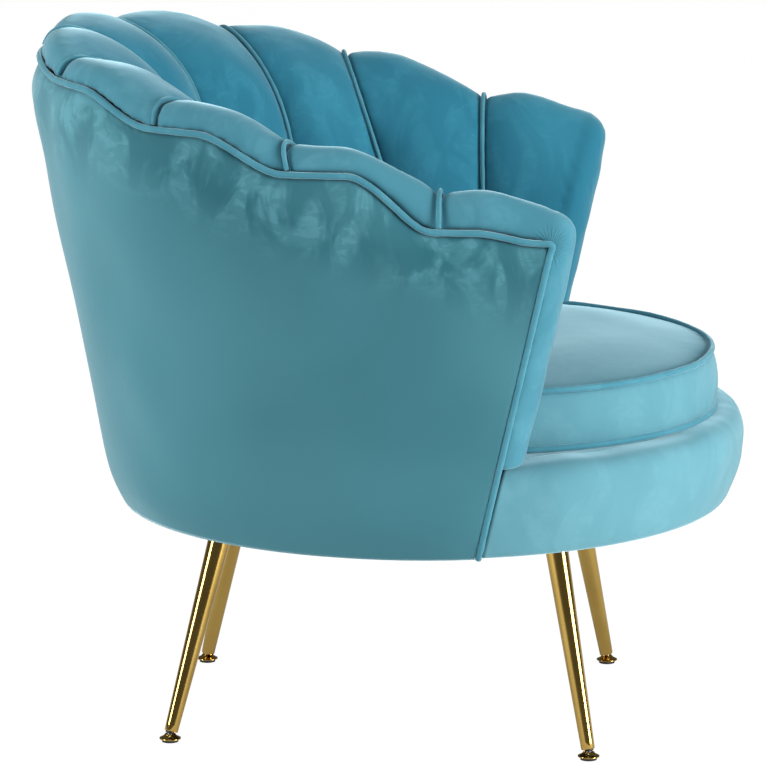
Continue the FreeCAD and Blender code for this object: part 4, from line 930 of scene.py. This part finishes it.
# Studio
floor_mesh = bpy.data.meshes.new("studio_floor")
FLOOR_HEIGHT = -0.0005
floor_corners = [(x, y, FLOOR_HEIGHT) for x, y in ((-30, -30), (30, -30), (30, 30), (-30, 30))]
floor_mesh.from_pydata(floor_corners, [], [(0, 1, 2, 3)])
floor = bpy.data.objects.new("studio_floor", floor_mesh)
bpy.context.scene.collection.objects.link(floor)
ground = Finish("studio_floor", Roughness=0.9, Specular_IOR_Level=0.1)
ground.give("Base Color", (0.93, 0.93, 0.93, 1))
rays = ground.node("ShaderNodeLightPath")
fog = ground.node("ShaderNodeEmission", {}, {"Color": (1, 1, 1, 1), "Strength": 1.1})[0]
output = next(n for n in ground.tree.nodes if n.type == "OUTPUT_MATERIAL")
seen = (rays[0] * 0.86).clamped()
lit = Value(ground, ground.surface.outputs[0])
blend = ground.node("ShaderNodeMixShader", {}, {0: seen, 1: lit, 2: fog})[0]
ground.tree.links.new(blend.socket, output.inputs[0])
floor.data.materials.append(ground.material)

world = bpy.data.worlds.new("studio")
bpy.context.scene.world = world
world.use_nodes = True
tree = world.node_tree
background = next(n for n in tree.nodes if n.type == "BACKGROUND")
light_path = tree.nodes.new("ShaderNodeLightPath")
level = tree.nodes.new("ShaderNodeMath")
level.operation = "MAXIMUM"
tree.links.new(light_path.outputs["Is Camera Ray"], level.inputs[0])
tree.links.new(light_path.outputs["Is Transmission Ray"], level.inputs[1])
brightness = tree.nodes.new("ShaderNodeMapRange")
tree.links.new(level.outputs[0], brightness.inputs["Value"])
brightness.inputs["To Min"].default_value = 0.34
brightness.inputs["To Max"].default_value = 1.0
dimmed = tree.nodes.new("ShaderNodeMath")
dimmed.operation = "MULTIPLY_ADD"
tree.links.new(light_path.outputs["Is Glossy Ray"], dimmed.inputs[0])
dimmed.inputs[1].default_value = -0.22
tree.links.new(brightness.outputs[0], dimmed.inputs[2])
tree.links.new(dimmed.outputs[0], background.inputs["Strength"])
background.inputs["Color"].default_value = (1, 1, 1, 1)


def soft_lamp(name, place, target, size, power):
    lamp = bpy.data.lights.new(name, "AREA")
    lamp.shape = "RECTANGLE"
    lamp.size, lamp.size_y, lamp.energy = size[0], size[1], power
    thing = bpy.data.objects.new(name, lamp)
    bpy.context.scene.collection.objects.link(thing)
    thing.location = place
    thing.rotation_euler = (Vector(target) - Vector(place)).to_track_quat("-Z", "Y").to_euler()


soft_lamp("front", (-1.4, -3.3, 1.1), (0, 0, 0.3), (1.6, 1.8), 150)
soft_lamp("top", (-0.9, 0.1, 3.0), (0, 0, 0.4), (1.6, 1.6), 14)
soft_lamp("behind", (-1.6, 3.0, 1.6), (0, 0, 0.5), (0.9, 1.8), 80)

# Camera
YAW, PITCH = math.radians(4.94), math.radians(11.75)
FOCAL_PIXELS, PHOTO_WIDTH, SENSOR = 5622, 767, 36
CAMERA_PLACE = (-6.076, -0.5176, 1.636)
forward = Vector((math.cos(YAW) * math.cos(PITCH), math.sin(YAW) * math.cos(PITCH), -math.sin(PITCH)))
right = Vector((math.sin(YAW), -math.cos(YAW), 0))
up = right.cross(forward)
lens = bpy.data.cameras.new("camera")
lens.lens, lens.sensor_width, lens.sensor_fit = FOCAL_PIXELS / PHOTO_WIDTH * SENSOR, SENSOR, "HORIZONTAL"
lens.clip_end = 100
camera = bpy.data.objects.new("camera", lens)
bpy.context.scene.collection.objects.link(camera)
turned = Matrix((right, up, -forward)).transposed().to_4x4()
camera.matrix_world = Matrix.Translation(CAMERA_PLACE) @ turned
bpy.context.scene.camera = camera
bpy.context.scene.view_settings.view_transform = "Standard"
